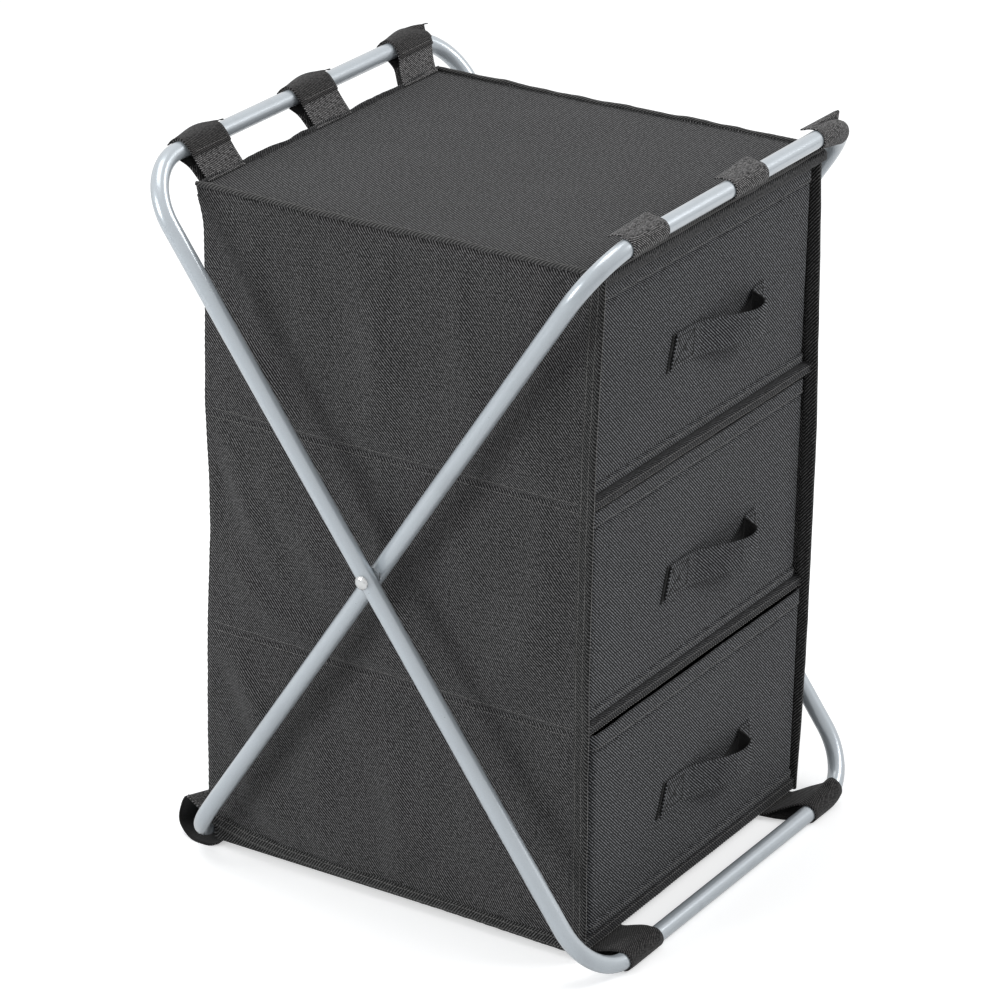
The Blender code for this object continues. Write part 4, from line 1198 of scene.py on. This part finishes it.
STRAP_MIDDLE = STRAP_RADIUS + STRAP_CLOTH / 2
HIGH_BAR_Z = PIVOT_Z + HALF_RISE
# Middle of the slack loop round a low back bar, as (y, z)
SLACK_MIDDLE = (0.221, 0.017)
BARS = {
    "strap_top_front": (INNER_LOOP, True, 1),
    "strap_top_back": (OUTER_LOOP, True, -1),
    "strap_bottom_front": (OUTER_LOOP, False, 1),
    "strap_bottom_back": (INNER_LOOP, False, -1),
}


def bar_section(half_width, high, x):
    """Where a front bar and its bends pass one X: centre, leg direction and slope of the tube."""
    past_bend = max(abs(x) - (half_width - BEND_RADIUS), 0.0)
    slope = asin(min(past_bend / BEND_RADIUS, 0.95))
    drop = BEND_RADIUS * (1 - cos(slope))
    rise = HALF_RISE if high else -HALF_RISE
    leg = Vector((-BAR_REACH, rise)).normalized()
    centre = Vector((0, PIVOT_Z)) + leg * (LEG_HALF - drop)
    return centre, leg, slope


def wrap_point(centre, leg, slope, angle, radius):
    """Point of a strap round the bar, where the section is an ellipse."""
    turn = angle - atan2(leg.y, leg.x)
    long = radius / cos(slope)
    away = 1.0 / sqrt((cos(turn) / long) ** 2 + (sin(turn) / radius) ** 2)
    return Vector((centre.x + away * cos(angle), centre.y + away * sin(angle)))


def rounded_line(points, parts=4):
    """Smooth curve through points, cut into parts between each two."""
    p = np.asarray(points, float)
    p = np.vstack([2 * p[0] - p[1], p, 2 * p[-1] - p[-2]])
    line = []
    for k in range(1, len(p) - 2):
        for t in np.arange(parts) / parts:
            line.append(0.5 * (2 * p[k] + (p[k + 1] - p[k - 1]) * t
                               + (2 * p[k - 1] - 5 * p[k] + 4 * p[k + 1] - p[k + 2]) * t ** 2
                               + (3 * p[k] - p[k - 1] - 3 * p[k + 1] + p[k + 2]) * t ** 3))
    line.append(p[-2])
    return np.array(line)


TUBE_LINES = (loop_line(OUTER_LOOP, 1), loop_line(INNER_LOOP, -1))


def clear_of_tubes(grid, reach=STRAP_MIDDLE):
    """Move points that are too near a tube's centreline straight out from it."""
    flat = grid.reshape(-1, 3).copy()
    for line in TUBE_LINES:
        step = np.roll(line, -1, axis=0) - line
        along = ((flat[:, None] - line) * step).sum(2) / (step ** 2).sum(1)
        near = line + step * np.clip(along, 0, 1)[:, :, None]
        away = flat[:, None] - near
        distance = np.linalg.norm(away, axis=2)
        best = distance.argmin(axis=1)
        row = np.arange(len(flat))
        gap = np.maximum(distance[row, best], 1e-9)
        flat += away[row, best] / gap[:, None] * np.maximum(reach - gap, 0)[:, None]
    return flat.reshape(grid.shape)


def strap_grid(bar, middle_x, steps, layer=0.0, stations=15):
    """Middle surface of a strap from steps along it.

    A step is (shift of X, width share, "at", left point, right point), with points as (y, z) where Y grows
    from the bar towards the cabinet, or (shift, share, "round", start angle, end angle), in degrees round it.
    An angle may be a pair, for the left and the right edge.
    """
    half_width, high, side = BARS[bar]
    edges = []
    for sign, pick in ((-1, 0), (1, 1)):
        line = []
        for shift, share, kind, first, second in steps:
            x = middle_x + shift + sign * STRAP_WIDTH / 2 * share
            if kind == "at":
                y, z = (first, second)[pick]
                line.append((x, side * y, z))
                continue
            start = first[pick] if isinstance(first, tuple) else first
            end = second[pick] if isinstance(second, tuple) else second
            centre, leg, slope = bar_section(half_width, high, x)
            for angle in np.linspace(radians(start), radians(end), 9):
                point = wrap_point(centre, leg, slope, angle, STRAP_MIDDLE + layer)
                line.append((x, side * point.x, point.y))
        edges.append(rounded_line(line))
    across = np.linspace(0, 1, stations)[:, None, None]
    grid = edges[0][None] * (1 - across) + edges[1][None] * across
    grid[:, :, 2] = np.maximum(grid[:, :, 2], STRAP_CLOTH / 2 + 0.0001)
    return clear_of_tubes(grid, STRAP_MIDDLE + layer)


def strap_web(name, grid, material="strap"):
    """Cloth of one strap or of a layer on it, and its length."""
    rows = len(grid)
    along = arc_lengths(grid[rows // 2])
    across = np.linspace(-STRAP_WIDTH / 2, STRAP_WIDTH / 2, rows)
    uv = map_of(across[:, None], along)
    replaced = [name[:-4]] if name.endswith("_web") else []
    web = cloth(name, grid, uv, STRAP_CLOTH, CLOTH[material], "cabinet", replaced)
    return web, float(along[-1])


def cross_threads(name, grid, columns, outward):
    """Rows of stitches across a strap at some of its columns, on the side that a direction points to."""
    normals = grid_normals(grid)
    seams = []
    for column in columns:
        line = grid[1:-1, column]
        normal = normals[1:-1, column]
        sign = np.sign((normal * np.asarray(outward)).sum(axis=1))[:, None]
        seams.append((line + normal * sign * STRAP_CLOTH / 2, normal * sign))
    return stitches(name, seams, "cabinet", CLOTH["thread"], pitch=0.0031, length=0.0023, radius=0.0003)


def facing_bar(y, z):
    """Function that finds the direction from a place straight to an axis along X, at one Y and Z."""
    def inward(place):
        return (Vector((0, y, z)) - Vector((0, place.y, place.z))).normalized()
    return inward


def flap_underside(place):
    """Direction that the hidden side of a front strap faces: down on its loose flap, and back elsewhere."""
    return Vector((0, 0, -1)) if place.z > 0.634 else Vector((0, 1, 0))


def same(y, z):
    """The same point for both edges of a strap."""
    return (y, z), (y, z)


def top_back_strap(name, middle_x, bar_shift):
    """Strap over a high back bar: a web with a second layer on it, whose end stands up as a pointed leaf."""
    s = bar_shift
    steps = [(0, 1, "at", *same(-0.1848, 0.6066)), (0, 1, "at", *same(-0.1868, 0.6084)),
             (0.1 * s, 1, "at", *same(-0.1893, 0.6115)), (0.4 * s, 1, "at", *same(-0.1945, 0.6180)),
             (0.8 * s, 1, "at", *same(-0.2000, 0.6256)), (s, 1, "round", 40, 262),
             (0.7 * s, 1, "at", *same(-0.2040, 0.6150)), (0.2 * s, 1, "at", *same(-0.1950, 0.6060)),
             (0, 1, "at", *same(-0.1890, 0.5995))]
    grid = strap_grid("strap_top_back", middle_x, steps)
    web, length = strap_web(name + "_web", grid)
    # Faces turned towards the bar get the dark underside copy: painted shade
    lined(web, CLOTH["underside"], facing_bar(BAR_REACH, HIGH_BAR_Z))
    lift = 0.0013
    lap_steps = [(0.8 * s, 1.01, "at", *same(-0.1985, 0.6240 + lift)),
                 (0.9 * s, 1.01, "at", *same(-0.2018, 0.6290 + lift)),
                 (s, 1.02, "round", (46, 40), (104, 84)),
                 (s + 0.0012, 1.08, "at", (-0.2200, 0.6352), (-0.2118, 0.6384)),
                 (s + 0.0024, 1.14, "at", (-0.2245, 0.6304), (-0.2098, 0.6388))]
    lap = strap_grid("strap_top_back", middle_x, lap_steps, layer=0.0014)
    share = np.linspace(0, 1, lap.shape[0])[:, None]
    along = np.linspace(0, 1, lap.shape[1])[None, :]
    lap[:, :, 2] += 0.0010 * np.sin(pi * share) ** 0.8 * ease((along - 0.55) / 0.45)
    lap[:, :, 1] += 0.0052 * np.sin(pi * share ** 1.5) * ease((along - 0.6) / 0.4)
    # The second layer takes the darker strap copy: painted shade
    layer, _ = strap_web(name + "_lap", lap, "painted_shade_strap")
    threads = cross_threads(name + "_threads", lap, (2,), (0, -0.6, 0.8))
    return web, length, [layer, threads]


FRONT_FLAPS = {
    "left": (((-0.2068, 0.6366), (-0.2065, 0.6374)), ((-0.2018, 0.6362), (-0.2020, 0.6380)),
             ((-0.1975, 0.6344), (-0.1985, 0.6376))),
    "middle": (((-0.2075, 0.6366), (-0.2070, 0.6372)), ((-0.2045, 0.6364), (-0.2028, 0.6378)),
               ((-0.2015, 0.6354), (-0.1992, 0.6378))),
    "right": (((-0.2068, 0.6364), (-0.2066, 0.6368)), ((-0.2035, 0.6356), (-0.2042, 0.6364)),
              ((-0.2004, 0.6350), (-0.2030, 0.6360))),
}


def top_front_strap(name, middle_x, bar_shift):
    """Strap from the top's front edge under a high front bar and over it, to a loose level flap."""
    s = bar_shift
    flap = FRONT_FLAPS[name.split("_")[-1]]
    steps = [(0, 1, "at", *same(-0.1850, 0.6058)), (0, 1, "at", *same(-0.1890, 0.6078)),
             (0, 1, "at", *same(-0.1935, 0.6100)), (0.4 * s, 1, "at", *same(-0.2000, 0.6120)),
             (s, 1, "round", 292, 84),
             *[(share * s, width, "at", left, right)
               for (share, width), (left, right) in zip(((0.9, 1.02), (0.85, 1.04), (0.8, 1.05)), flap)]]
    grid = strap_grid("strap_top_front", middle_x, steps)
    web, length = strap_web(name + "_web", grid)
    # The flap's lower face and the faces turned back get the dark underside copy: painted shade
    lined(web, CLOTH["underside"], flap_underside)
    return web, length, [cross_threads(name + "_threads", grid, (-9,), (0, 0, 1))]


def bottom_front_strap(name, middle_x, bar_shift):
    """Strap from under the cabinet's front edge over a low front bar and back below it."""
    s = bar_shift
    steps = [(0, 1, "at", *same(-0.1700, 0.0048)), (0, 1, "at", *same(-0.1765, 0.0046)),
             (0.15 * s, 1, "at", *same(-0.1815, 0.0062)), (0.5 * s, 1, "at", *same(-0.1920, 0.0112)),
             (0.85 * s, 1, "at", *same(-0.2030, 0.0158)), (s, 1, "round", 76, 272),
             (0.8 * s, 1, "at", *same(-0.2030, 0.0010)), (0.3 * s, 1, "at", *same(-0.1880, 0.0020)),
             (0, 1, "at", *same(-0.1730, 0.0030))]
    grid = strap_grid("strap_bottom_front", middle_x, steps)
    under_drawer = np.abs(grid[:, :, 0]) < DRAWER_HALF + 0.002
    grid[:, :, 2] = np.where(under_drawer, np.minimum(grid[:, :, 2], 0.0184), grid[:, :, 2])
    # The low front straps take the darker strap copy: painted shade
    web, length = strap_web(name + "_web", grid, "painted_shade_strap")
    return web, length, [cross_threads(name + "_threads", grid, (3,), (0, -0.5, 0.8))]


def bottom_back_strap(name, middle_x, _):
    """Slack strap round a low back bar; its outer edge bags out past the bend of the tube."""
    outer = [(-0.2000, 0.0520), (-0.2003, 0.0340), (-0.2040, 0.0235), (-0.2135, 0.0262), (-0.2215, 0.0302),
             (-0.2290, 0.0352), (-0.2325, 0.0360), (-0.2348, 0.0335), (-0.2378, 0.0270), (-0.2400, 0.0165),
             (-0.2375, 0.0092), (-0.2290, 0.0030), (-0.2180, 0.0008), (-0.2030, 0.0009), (-0.1960, 0.0025)]
    inner = [(-0.2000, 0.0520), (-0.2003, 0.0340), (-0.2040, 0.0215), (-0.2135, 0.0212), (-0.2215, 0.0220),
             (-0.2270, 0.0244), (-0.2300, 0.0248), (-0.2320, 0.0225), (-0.2335, 0.0180), (-0.2335, 0.0110),
             (-0.2305, 0.0060), (-0.2240, 0.0020), (-0.2150, 0.0008), (-0.2030, 0.0009), (-0.1960, 0.0025)]
    shifts = (0.0, 0.0, 0.001, 0.002, 0.003, 0.003, 0.003, 0.003, 0.003, 0.004, 0.006, 0.009, 0.012, 0.012,
              0.008)
    side = -1 if middle_x < 0 else 1
    pairs = zip(outer, inner) if side < 0 else zip(inner, outer)
    steps = [(side * shift, 1, "at", left, right) for shift, (left, right) in zip(shifts, pairs)]
    grid = strap_grid("strap_bottom_back", middle_x, steps)
    web, length = strap_web(name + "_web", grid)
    # Faces turned into the slack loop get the dark underside copy: painted shade
    lined(web, CLOTH["underside"], facing_bar(*SLACK_MIDDLE))
    edge = grid[1 if side < 0 else -2, 10:26]
    out = edge - np.array([0.0, *SLACK_MIDDLE])
    out[:, 0] = 0
    out /= np.linalg.norm(out, axis=1, keepdims=True)
    selvage = stitches(name + "_edge_threads", [(edge + out * STRAP_CLOTH / 2, out)], "cabinet",
                       CLOTH["thread"], pitch=0.0026, length=0.0024, radius=0.0004)
    return web, length, [cross_threads(name + "_threads", grid, (2,), (0, 1, 0)), selvage]


def build_straps():
    """Straps on the four bars; the pieces of the straps with an anchor height get their own copies of their
    meshes.
    """
    rows = (
        ("strap_top_front", top_front_strap, None,
         {"left": (LEFT_COLUMN, 0.0), "middle": (MIDDLE_COLUMN, 0.0), "right": (RIGHT_COLUMN, 0.010)}),
        ("strap_top_back", top_back_strap, TOP_Z,
         {"left": (LEFT_COLUMN, 0.0), "middle": (MIDDLE_COLUMN, 0.0), "right": (RIGHT_COLUMN, 0.0165)}),
        ("strap_bottom_front", bottom_front_strap, 0.012,
         {"left": (LEFT_COLUMN, -0.008), "right": (RIGHT_COLUMN, 0.0140)}),
        ("strap_bottom_back", bottom_back_strap, None,
         {"left": (-BACK_COLUMN, 0.0), "right": (BACK_COLUMN, 0.0)}),
    )
    for name, make, anchor_z, columns in rows:
        for column, (middle_x, shift) in columns.items():
            web, length, layers = make(name + "_" + column, middle_x, shift)
            if anchor_z:
                for piece in [web] + layers:
                    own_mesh(piece)


# Drawers

def drawer_ring(half, front, back, radii, corner_steps=10, front_steps=60, side_steps=48):
    """Level outline of a drawer from the middle of its back: points, and the kind of each."""
    points = []
    left, right = radii

    def straight(a, b, steps, kind):
        for k in range(steps):
            t = k / steps
            points.append((a[0] + (b[0] - a[0]) * t, a[1] + (b[1] - a[1]) * t, kind))

    def corner(cx, cy, start, radius):
        for k in range(corner_steps):
            angle = start - (pi / 2) * k / corner_steps
            points.append((cx + radius * cos(angle), cy + radius * sin(angle), "corner"))

    straight((0, back), (half - right, back), front_steps // 2, "back")
    corner(half - right, back - right, pi / 2, right)
    straight((half, back - right), (half, front + right), side_steps, "right")
    corner(half - right, front + right, 0.0, right)
    straight((half - right, front), (-half + left, front), front_steps, "front")
    corner(-half + left, front + left, -pi / 2, left)
    straight((-half, front + left), (-half, back - left), side_steps, "left")
    corner(-half + left, back - left, pi, left)
    straight((-half + left, back), (0, back), front_steps // 2, "back")
    return points


def groove(level, place, depth, width=0.0009):
    """Narrow groove round a drawer at one level."""
    return -depth * np.exp(-((level - place) / width) ** 2)


def drawer_cloth(place):
    """Soft box of a drawer with its hems, and the threads of its seams."""
    low, high = BAYS[place]
    low_z = low + DRAWER_FLOOR_GAP
    high_z = high - DRAWER_TOP_GAPS[place]
    front = DRAWER_FRONTS[place]
    back = front + DRAWER_DEPTH
    wall = 0.0022
    top_hem, low_hem = 0.0142, 0.0084
    seed = {"bottom": 601, "middle": 621, "top": 641}[place]
    body = "drawer_" + place
    outline = drawer_ring(DRAWER_HALF, front, back, DRAWER_RADII)
    flat = np.array([(x, y) for x, y, _ in outline])
    kinds = [kind for _, _, kind in outline]
    arc = arc_lengths(flat)
    tangent = np.roll(flat, -1, axis=0) - np.roll(flat, 1, axis=0)
    tangent /= np.linalg.norm(tangent, axis=1, keepdims=True)
    outward = np.stack([-tangent[:, 1], tangent[:, 0]], axis=1)
    is_front = np.array([kind == "front" for kind in kinds], float)
    is_side = np.array([kind in ("left", "right") for kind in kinds], float)
    front_share = np.clip((DRAWER_HALF - DRAWER_RADII[0] - np.abs(flat[:, 0])) / 0.03, 0, 1) * is_front
    depth_share = np.clip((flat[:, 1] - front - DRAWER_RADII[0]) / (DRAWER_DEPTH - 2 * DRAWER_RADII[0]), 0, 1)
    height = high_z - low_z
    levels = np.concatenate([
        [0.0, 0.0006, 0.0016, 0.003, 0.0055, 0.0072, 0.0078, 0.0084, 0.0090, 0.0096, 0.0104],
        np.linspace(0.013, height - 0.0175, 40),
        height - np.array([0.0160, 0.0154, 0.0148, 0.0142, 0.0136, 0.0130, 0.0122, 0.009, 0.005, 0.002,
                           0.0008, 0.0])])

    def wall_ring(level, inside=False):
        belly = np.sin(pi * level / height)
        calm = waves(seed, arc, np.full_like(arc, level), 0.10, 3)
        small = waves(seed + 3, arc, np.full_like(arc, level), 0.022, 2)
        push = is_front * belly * (0.0006 * ease(front_share) + 0.00035 * calm)
        push = push - is_side * belly * np.sin(pi * depth_share) * (0.0016 + 0.0010 * calm)
        push = push + 0.00012 * small
        push = push + 0.0007 * ease((level - (height - top_hem)) / 0.0006)
        push = push + 0.0009 * (1 - ease((level - low_hem) / 0.0006))
        push = push + groove(level, height - top_hem - 0.0010, 0.0015)
        push = push + groove(level, low_hem + 0.0011, 0.0015)
        roll_in = (0.0016 * max(0.0, 1 - level / 0.0016) ** 2
                   + 0.0006 * max(0.0, 1 - (height - level) / 0.001) ** 2)
        push = push - roll_in - 0.0007
        if inside:
            push = push - wall + 0.0002
        ring = flat + outward * push[:, None]
        ring[:, 1] -= LEAN * level / HEIGHT
        z = low_z + level + (0.0007 * calm * ease((level - height * 0.8) / 0.02)) * is_front
        return np.column_stack([ring, np.minimum(z, high_z)])

    rings = [wall_ring(level) for level in levels]
    inner_levels = [height - 0.0003, height - 0.002, height - 0.008, height - 0.0145, height - 0.02,
                    height * 0.66, height * 0.5, height * 0.33, 0.012, 0.0045, wall]
    inner = [wall_ring(level, True) for level in inner_levels]
    count = len(outline)
    widths = np.linalg.norm(np.roll(flat, -1, axis=0) - flat, axis=1)
    points = []
    faces = []
    maps = []
    shades = []

    def add_rings(group, shade, sign):
        base = len(points)
        for ring in group:
            points.extend(ring)
        for i in range(len(group) - 1):
            for k in range(count):
                m = (k + 1) % count
                near, far = base + i * count, base + (i + 1) * count
                faces.append((near + k, near + m, far + m, far + k))
                u0, u1 = sign * arc[k], sign * (arc[k] + widths[k])
                z0, z1 = group[i][k][2], group[i + 1][k][2]
                maps.extend([(u0, z0), (u1, z0), (u1, z1), (u0, z1)])
                shades.append(shade)
        return base

    outer_base = add_rings(rings, 0, -1.0)
    inner_base = add_rings(inner, 1, 1.0)
    rim_low = outer_base + (len(rings) - 1) * count
    for k in range(count):
        m = (k + 1) % count
        faces.append((rim_low + k, rim_low + m, inner_base + m, inner_base + k))
        u0, u1 = -arc[k], -(arc[k] + widths[k])
        maps.extend([(u0, 0.0), (u1, 0.0), (u1, wall), (u0, wall)])
        shades.append(0)
    last = inner_base + (len(inner) - 1) * count
    outer_floor = list(range(outer_base, outer_base + count))[::-1]
    inner_floor = list(range(last, last + count))
    for ring, shade in ((outer_floor, 0), (inner_floor, 1)):
        faces.append(tuple(ring))
        maps.extend([(points[i][0], points[i][1]) for i in ring])
        shades.append(shade)
    shell = mesh_piece(body + "_cloth", points, faces, maps, CLOTH["front"], body,
                       [body + "_shell"])
    shell.data.materials.append(CLOTH["lining"])
    shell.data.polygons.foreach_set("material_index", shades)
    tidy_normals(shell)
    seams = []
    normal = np.column_stack([outward, np.zeros(count)])
    for level in (height - 0.0118, 0.0062):
        ring = wall_ring(level)
        seams.append((np.vstack([ring, ring[:1]]), np.vstack([normal, normal[:1]])))
    threads = stitches(body + "_threads", seams, body, CLOTH["thread"], lift=0.0001)


HANDLE_STANDS = smooth_curve((-0.2, 0.0, 0.10, 0.28, 0.50, 0.68, 0.82, 0.92, 0.965, 1.0, 1.2),
                             (0.0, 0.0, 0.06, 0.34, 0.74, 0.94, 1.0, 1.0, 0.80, 0.0, 0.0), 0.010)
HANDLE_SAGS = smooth_curve((-0.2, 0.0, 0.25, 0.5, 0.78, 0.93, 1.0, 1.2),
                           (0.0, 0.0, 0.0018, 0.0046, 0.0076, 0.0062, 0.001, 0.0), 0.03)


def drawer_handle(place):
    """Handle strap with ends sewn flat, the left one with a boxed cross, and a soft loop that stands off."""
    body = "drawer_" + place
    middle_x, middle_z = HANDLE_PLACES[place]
    low_z = BAYS[place][0] + DRAWER_FLOOR_GAP
    half = 0.071
    standoff = 0.0180
    tall = 0.028
    thick = 0.0019
    slant = 0.0085
    left_patch = 0.032
    right_patch = 0.019
    loop_start = left_patch - half
    loop_end = half - right_patch
    seed = {"bottom": 701, "middle": 711, "top": 721}[place]

    def seat_at(z):
        return DRAWER_FRONTS[place] - LEAN * (z - low_z) / HEIGHT - 0.0005

    def surface(u, share):
        """Point on the strap's middle: U runs along it from its middle, share across it from foot to top."""
        loop = (u - loop_start) / (loop_end - loop_start)
        stand = HANDLE_STANDS(loop)
        wobble = 0.0004 * waves(seed, u, u * 0 + share * 0.03, 0.05, 2) * stand
        curl = 0.0013 * stand * (2 * np.abs(share)) ** 2
        end = np.exp(-((half + u) / 0.0022) ** 2)
        x = middle_x + u + slant * share * ease((loop_start - u + 0.012) / (left_patch + 0.012))
        z = middle_z + share * tall * (1 - 0.04 * stand) - HANDLE_SAGS(loop)
        y = seat_at(z) - thick / 2 - standoff * stand * (0.95 + 0.10 * share) + curl - 0.0012 * end + wobble
        return np.stack([x + 0 * z, y, z + 0 * x], axis=-1)

    xs = np.concatenate([np.linspace(-half, loop_end - 0.012, 96),
                         np.linspace(loop_end - 0.011, loop_end + 0.002, 30),
                         np.linspace(loop_end + 0.003, half, 14)])
    shares = np.linspace(-0.5, 0.5, 13)
    grid = np.array([surface(xs, share) for share in shares])
    uv = map_of(xs, shares[:, None] * tall)
    strap = cloth(body + "_handle_web", grid, uv, thick, CLOTH["front"], body,
                  [body + "_handle"])

    def seam(start, end):
        """Straight seam on the strap between two places, each a pair of U and share."""
        t = np.linspace(0, 1, 40)
        line = surface(start[0] + (end[0] - start[0]) * t, start[1] + (end[1] - start[1]) * t)
        line[:, 1] -= thick / 2
        return seam_on(line, [0.0, -1.0, 0.0])

    def open_box(first, last):
        """Three seams of a box that is open where it starts."""
        high, low = 0.40, -0.40
        return [seam((first, high), (last, high)), seam((last, high), (last, low)),
                seam((last, low), (first, low))]

    box_start, box_end = -half + 0.0022, loop_start - 0.001
    seams = open_box(box_start, box_end)
    seams += [seam((box_start, 0.40), (box_end, -0.40)), seam((box_start, -0.40), (box_end, 0.40))]
    seams += open_box(loop_end + 0.0035, half - 0.003)
    threads = stitches(body + "_handle_threads", seams, body, CLOTH["crease"], pitch=0.0019, length=0.0019,
                       radius=0.00046, lift=0.0)
    # The back of the handle, facing the drawer front, gets the dark underside copy: painted shade for the
    # hollow under the loop
    lined(strap, CLOTH["underside"], lambda middle: Vector((-0.5, 0.86, 0.0)))
    # Black roll along the left end of the sewn patch: painted shadow for the dark line under its lifted end
    slit_share = np.linspace(-0.56, 0.52, 24)
    painted_shadow_path = surface(np.full_like(slit_share, -half), slit_share)
    painted_shadow_path[:, 0] -= 0.0013
    painted_shadow_path[:, 1] = seat_at(painted_shadow_path[:, 2]) + 0.0004
    gap = sweep(body + "_handle_painted_shadow_line", painted_shadow_path, 0.0013, 8, CLOTH["crease"], body)
    # Black sheet on the drawer front behind the loop's right half, its upper edge along the measured edge of
    # the shadow: painted shadow for the dark hollow under the loop
    back_u = np.linspace(-0.004, loop_end + 0.001, 40)
    high_share = np.interp(back_u, (-0.004, 0.0, 0.0235, loop_end), (-0.44, -0.30, -0.06, 0.36))
    back_shares = -0.46 + (high_share + 0.46) * np.linspace(0, 1, 8)[:, None]
    back_loop = (back_u - loop_start) / (loop_end - loop_start)
    back_z = middle_z + back_shares * tall - HANDLE_SAGS(back_loop) * 0.6
    back_x = np.broadcast_to(middle_x + back_u, back_z.shape)
    painted_shadow_grid = np.stack([back_x, seat_at(back_z) - 0.0003, back_z], axis=2)
    back_uv = map_of(painted_shadow_grid[:, :, 0], painted_shadow_grid[:, :, 2])
    painted_shadow_piece = cloth(body + "_handle_painted_shadow_sheet", painted_shadow_grid, back_uv, 0.0006, CLOTH["crease"], body)


# Stage

def area_light(name, place, target, size, power, colour=(1.0, 1.0, 1.0), size_y=None):
    """Soft rectangular lamp aimed at a point."""
    data = bpy.data.lights.new(name, "AREA")
    data.shape = "RECTANGLE"
    data.size = size
    data.size_y = size_y or size
    data.energy = power
    data.color = colour
    lamp = bpy.data.objects.new(name, data)
    lamp.location = place
    lamp.rotation_mode = "QUATERNION"
    lamp.rotation_quaternion = (Vector(target) - Vector(place)).to_track_quat("-Z", "Y")
    bpy.context.scene.collection.objects.link(lamp)
    return lamp


def build_stage():
    """White floor that keeps the shadow, soft lamps and a plain white world."""
    bm = bmesh.new()
    bmesh.ops.create_circle(bm, cap_ends=True, segments=96, radius=9.0)
    mesh = bpy.data.meshes.new("floor")
    bm.to_mesh(mesh)
    bm.free()
    ground = bpy.data.objects.new("floor", mesh)
    bpy.context.scene.collection.objects.link(ground)
    g = Graph("pale_floor")
    paths = g.node("ShaderNodeLightPath")
    glow = g.node("ShaderNodeEmission")
    g.feed(glow.inputs["Strength"], g.calc("MULTIPLY", paths.outputs["Is Camera Ray"], 0.47))
    total = g.node("ShaderNodeAddShader")
    g.finish((0.80, 0.80, 0.80, 1.0), roughness=1.0, specular_ior_level=0.0)
    g.feed(total.inputs[0], g.shader.outputs[0])
    g.feed(total.inputs[1], glow.outputs[0])
    output = g.tree.nodes["Material Output"]
    g.feed(output.inputs["Surface"], total.outputs[0])
    mesh.materials.append(g.material)

    world = bpy.data.worlds.new("plain_studio")
    bpy.context.scene.world = world
    world.use_nodes = True
    tree = world.node_tree
    tree.nodes.clear()
    paths = tree.nodes.new("ShaderNodeLightPath")
    dim = tree.nodes.new("ShaderNodeBackground")
    dim.inputs["Color"].default_value = (0.97, 0.985, 1.0, 1.0)
    dim.inputs["Strength"].default_value = 0.58
    white = tree.nodes.new("ShaderNodeBackground")
    white.inputs["Strength"].default_value = 1.0
    most = tree.nodes.new("ShaderNodeMath")
    most.operation = "MAXIMUM"
    both = tree.nodes.new("ShaderNodeMath")
    both.operation = "MAXIMUM"
    tree.links.new(paths.outputs["Is Glossy Ray"], most.inputs[0])
    tree.links.new(paths.outputs["Is Transmission Ray"], most.inputs[1])
    tree.links.new(most.outputs[0], both.inputs[0])
    tree.links.new(paths.outputs["Is Camera Ray"], both.inputs[1])
    mix = tree.nodes.new("ShaderNodeMixShader")
    tree.links.new(both.outputs[0], mix.inputs[0])
    tree.links.new(dim.outputs[0], mix.inputs[1])
    tree.links.new(white.outputs[0], mix.inputs[2])
    output = tree.nodes.new("ShaderNodeOutputWorld")
    tree.links.new(mix.outputs[0], output.inputs["Surface"])

    area_light("key_lamp", (1.5, -1.9, 2.1), (0, 0, 0.30), 1.3, 34.0)
    area_light("left_fill", (-2.1, 1.3, 1.3), (0, 0, 0.30), 0.9, 24.0, (0.97, 0.99, 1.0), 0.9)
    area_light("top_lamp", (-0.2, 0.5, 2.6), (0, 0, 0.55), 1.4, 18.0)


def build_camera():
    """Camera at the photograph's place."""
    back = Vector((sin(CAMERA_AZIMUTH) * cos(CAMERA_ELEVATION), -cos(CAMERA_AZIMUTH) * cos(CAMERA_ELEVATION),
                   sin(CAMERA_ELEVATION)))
    right = (-back).cross(Vector((0, 0, 1))).normalized()
    up = right.cross(-back)
    rolled_right = cos(CAMERA_ROLL) * right + sin(CAMERA_ROLL) * up
    rolled_up = -sin(CAMERA_ROLL) * right + cos(CAMERA_ROLL) * up
    turn = Matrix((rolled_right, rolled_up, back)).transposed()
    data = bpy.data.cameras.new("camera")
    data.sensor_width = SENSOR_WIDTH
    data.lens = CAMERA_FOCUS * SENSOR_WIDTH / PICTURE_SIZE
    data.shift_x = -CAMERA_CENTRE[0] / PICTURE_SIZE
    data.shift_y = CAMERA_CENTRE[1] / PICTURE_SIZE
    camera = bpy.data.objects.new("camera", data)
    camera.matrix_world = Matrix.Translation(Vector(CAMERA_TARGET) + back * CAMERA_DISTANCE) @ turn.to_4x4()
    bpy.context.scene.collection.objects.link(camera)
    bpy.context.scene.camera = camera


def dress_boards():
    """Fibreboard on the stiffeners that stay as they are."""
    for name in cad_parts:
        if name.endswith("_board"):
            dress(name, BOARD)


build_stage()
build_camera()
build_frame()
dress_boards()
for side_sign, side_word in ((-1, "left"), (1, "right")):
    side_cloth(side_sign, side_word)
    front_binding(side_sign, side_word)
back_cloth()
shelf_cloths()
top_cloth()
top_piping()
build_straps()
for drawer_place in BAYS:
    drawer_cloth(drawer_place)
    drawer_handle(drawer_place)
bpy.context.scene.view_settings.view_transform = "Standard"
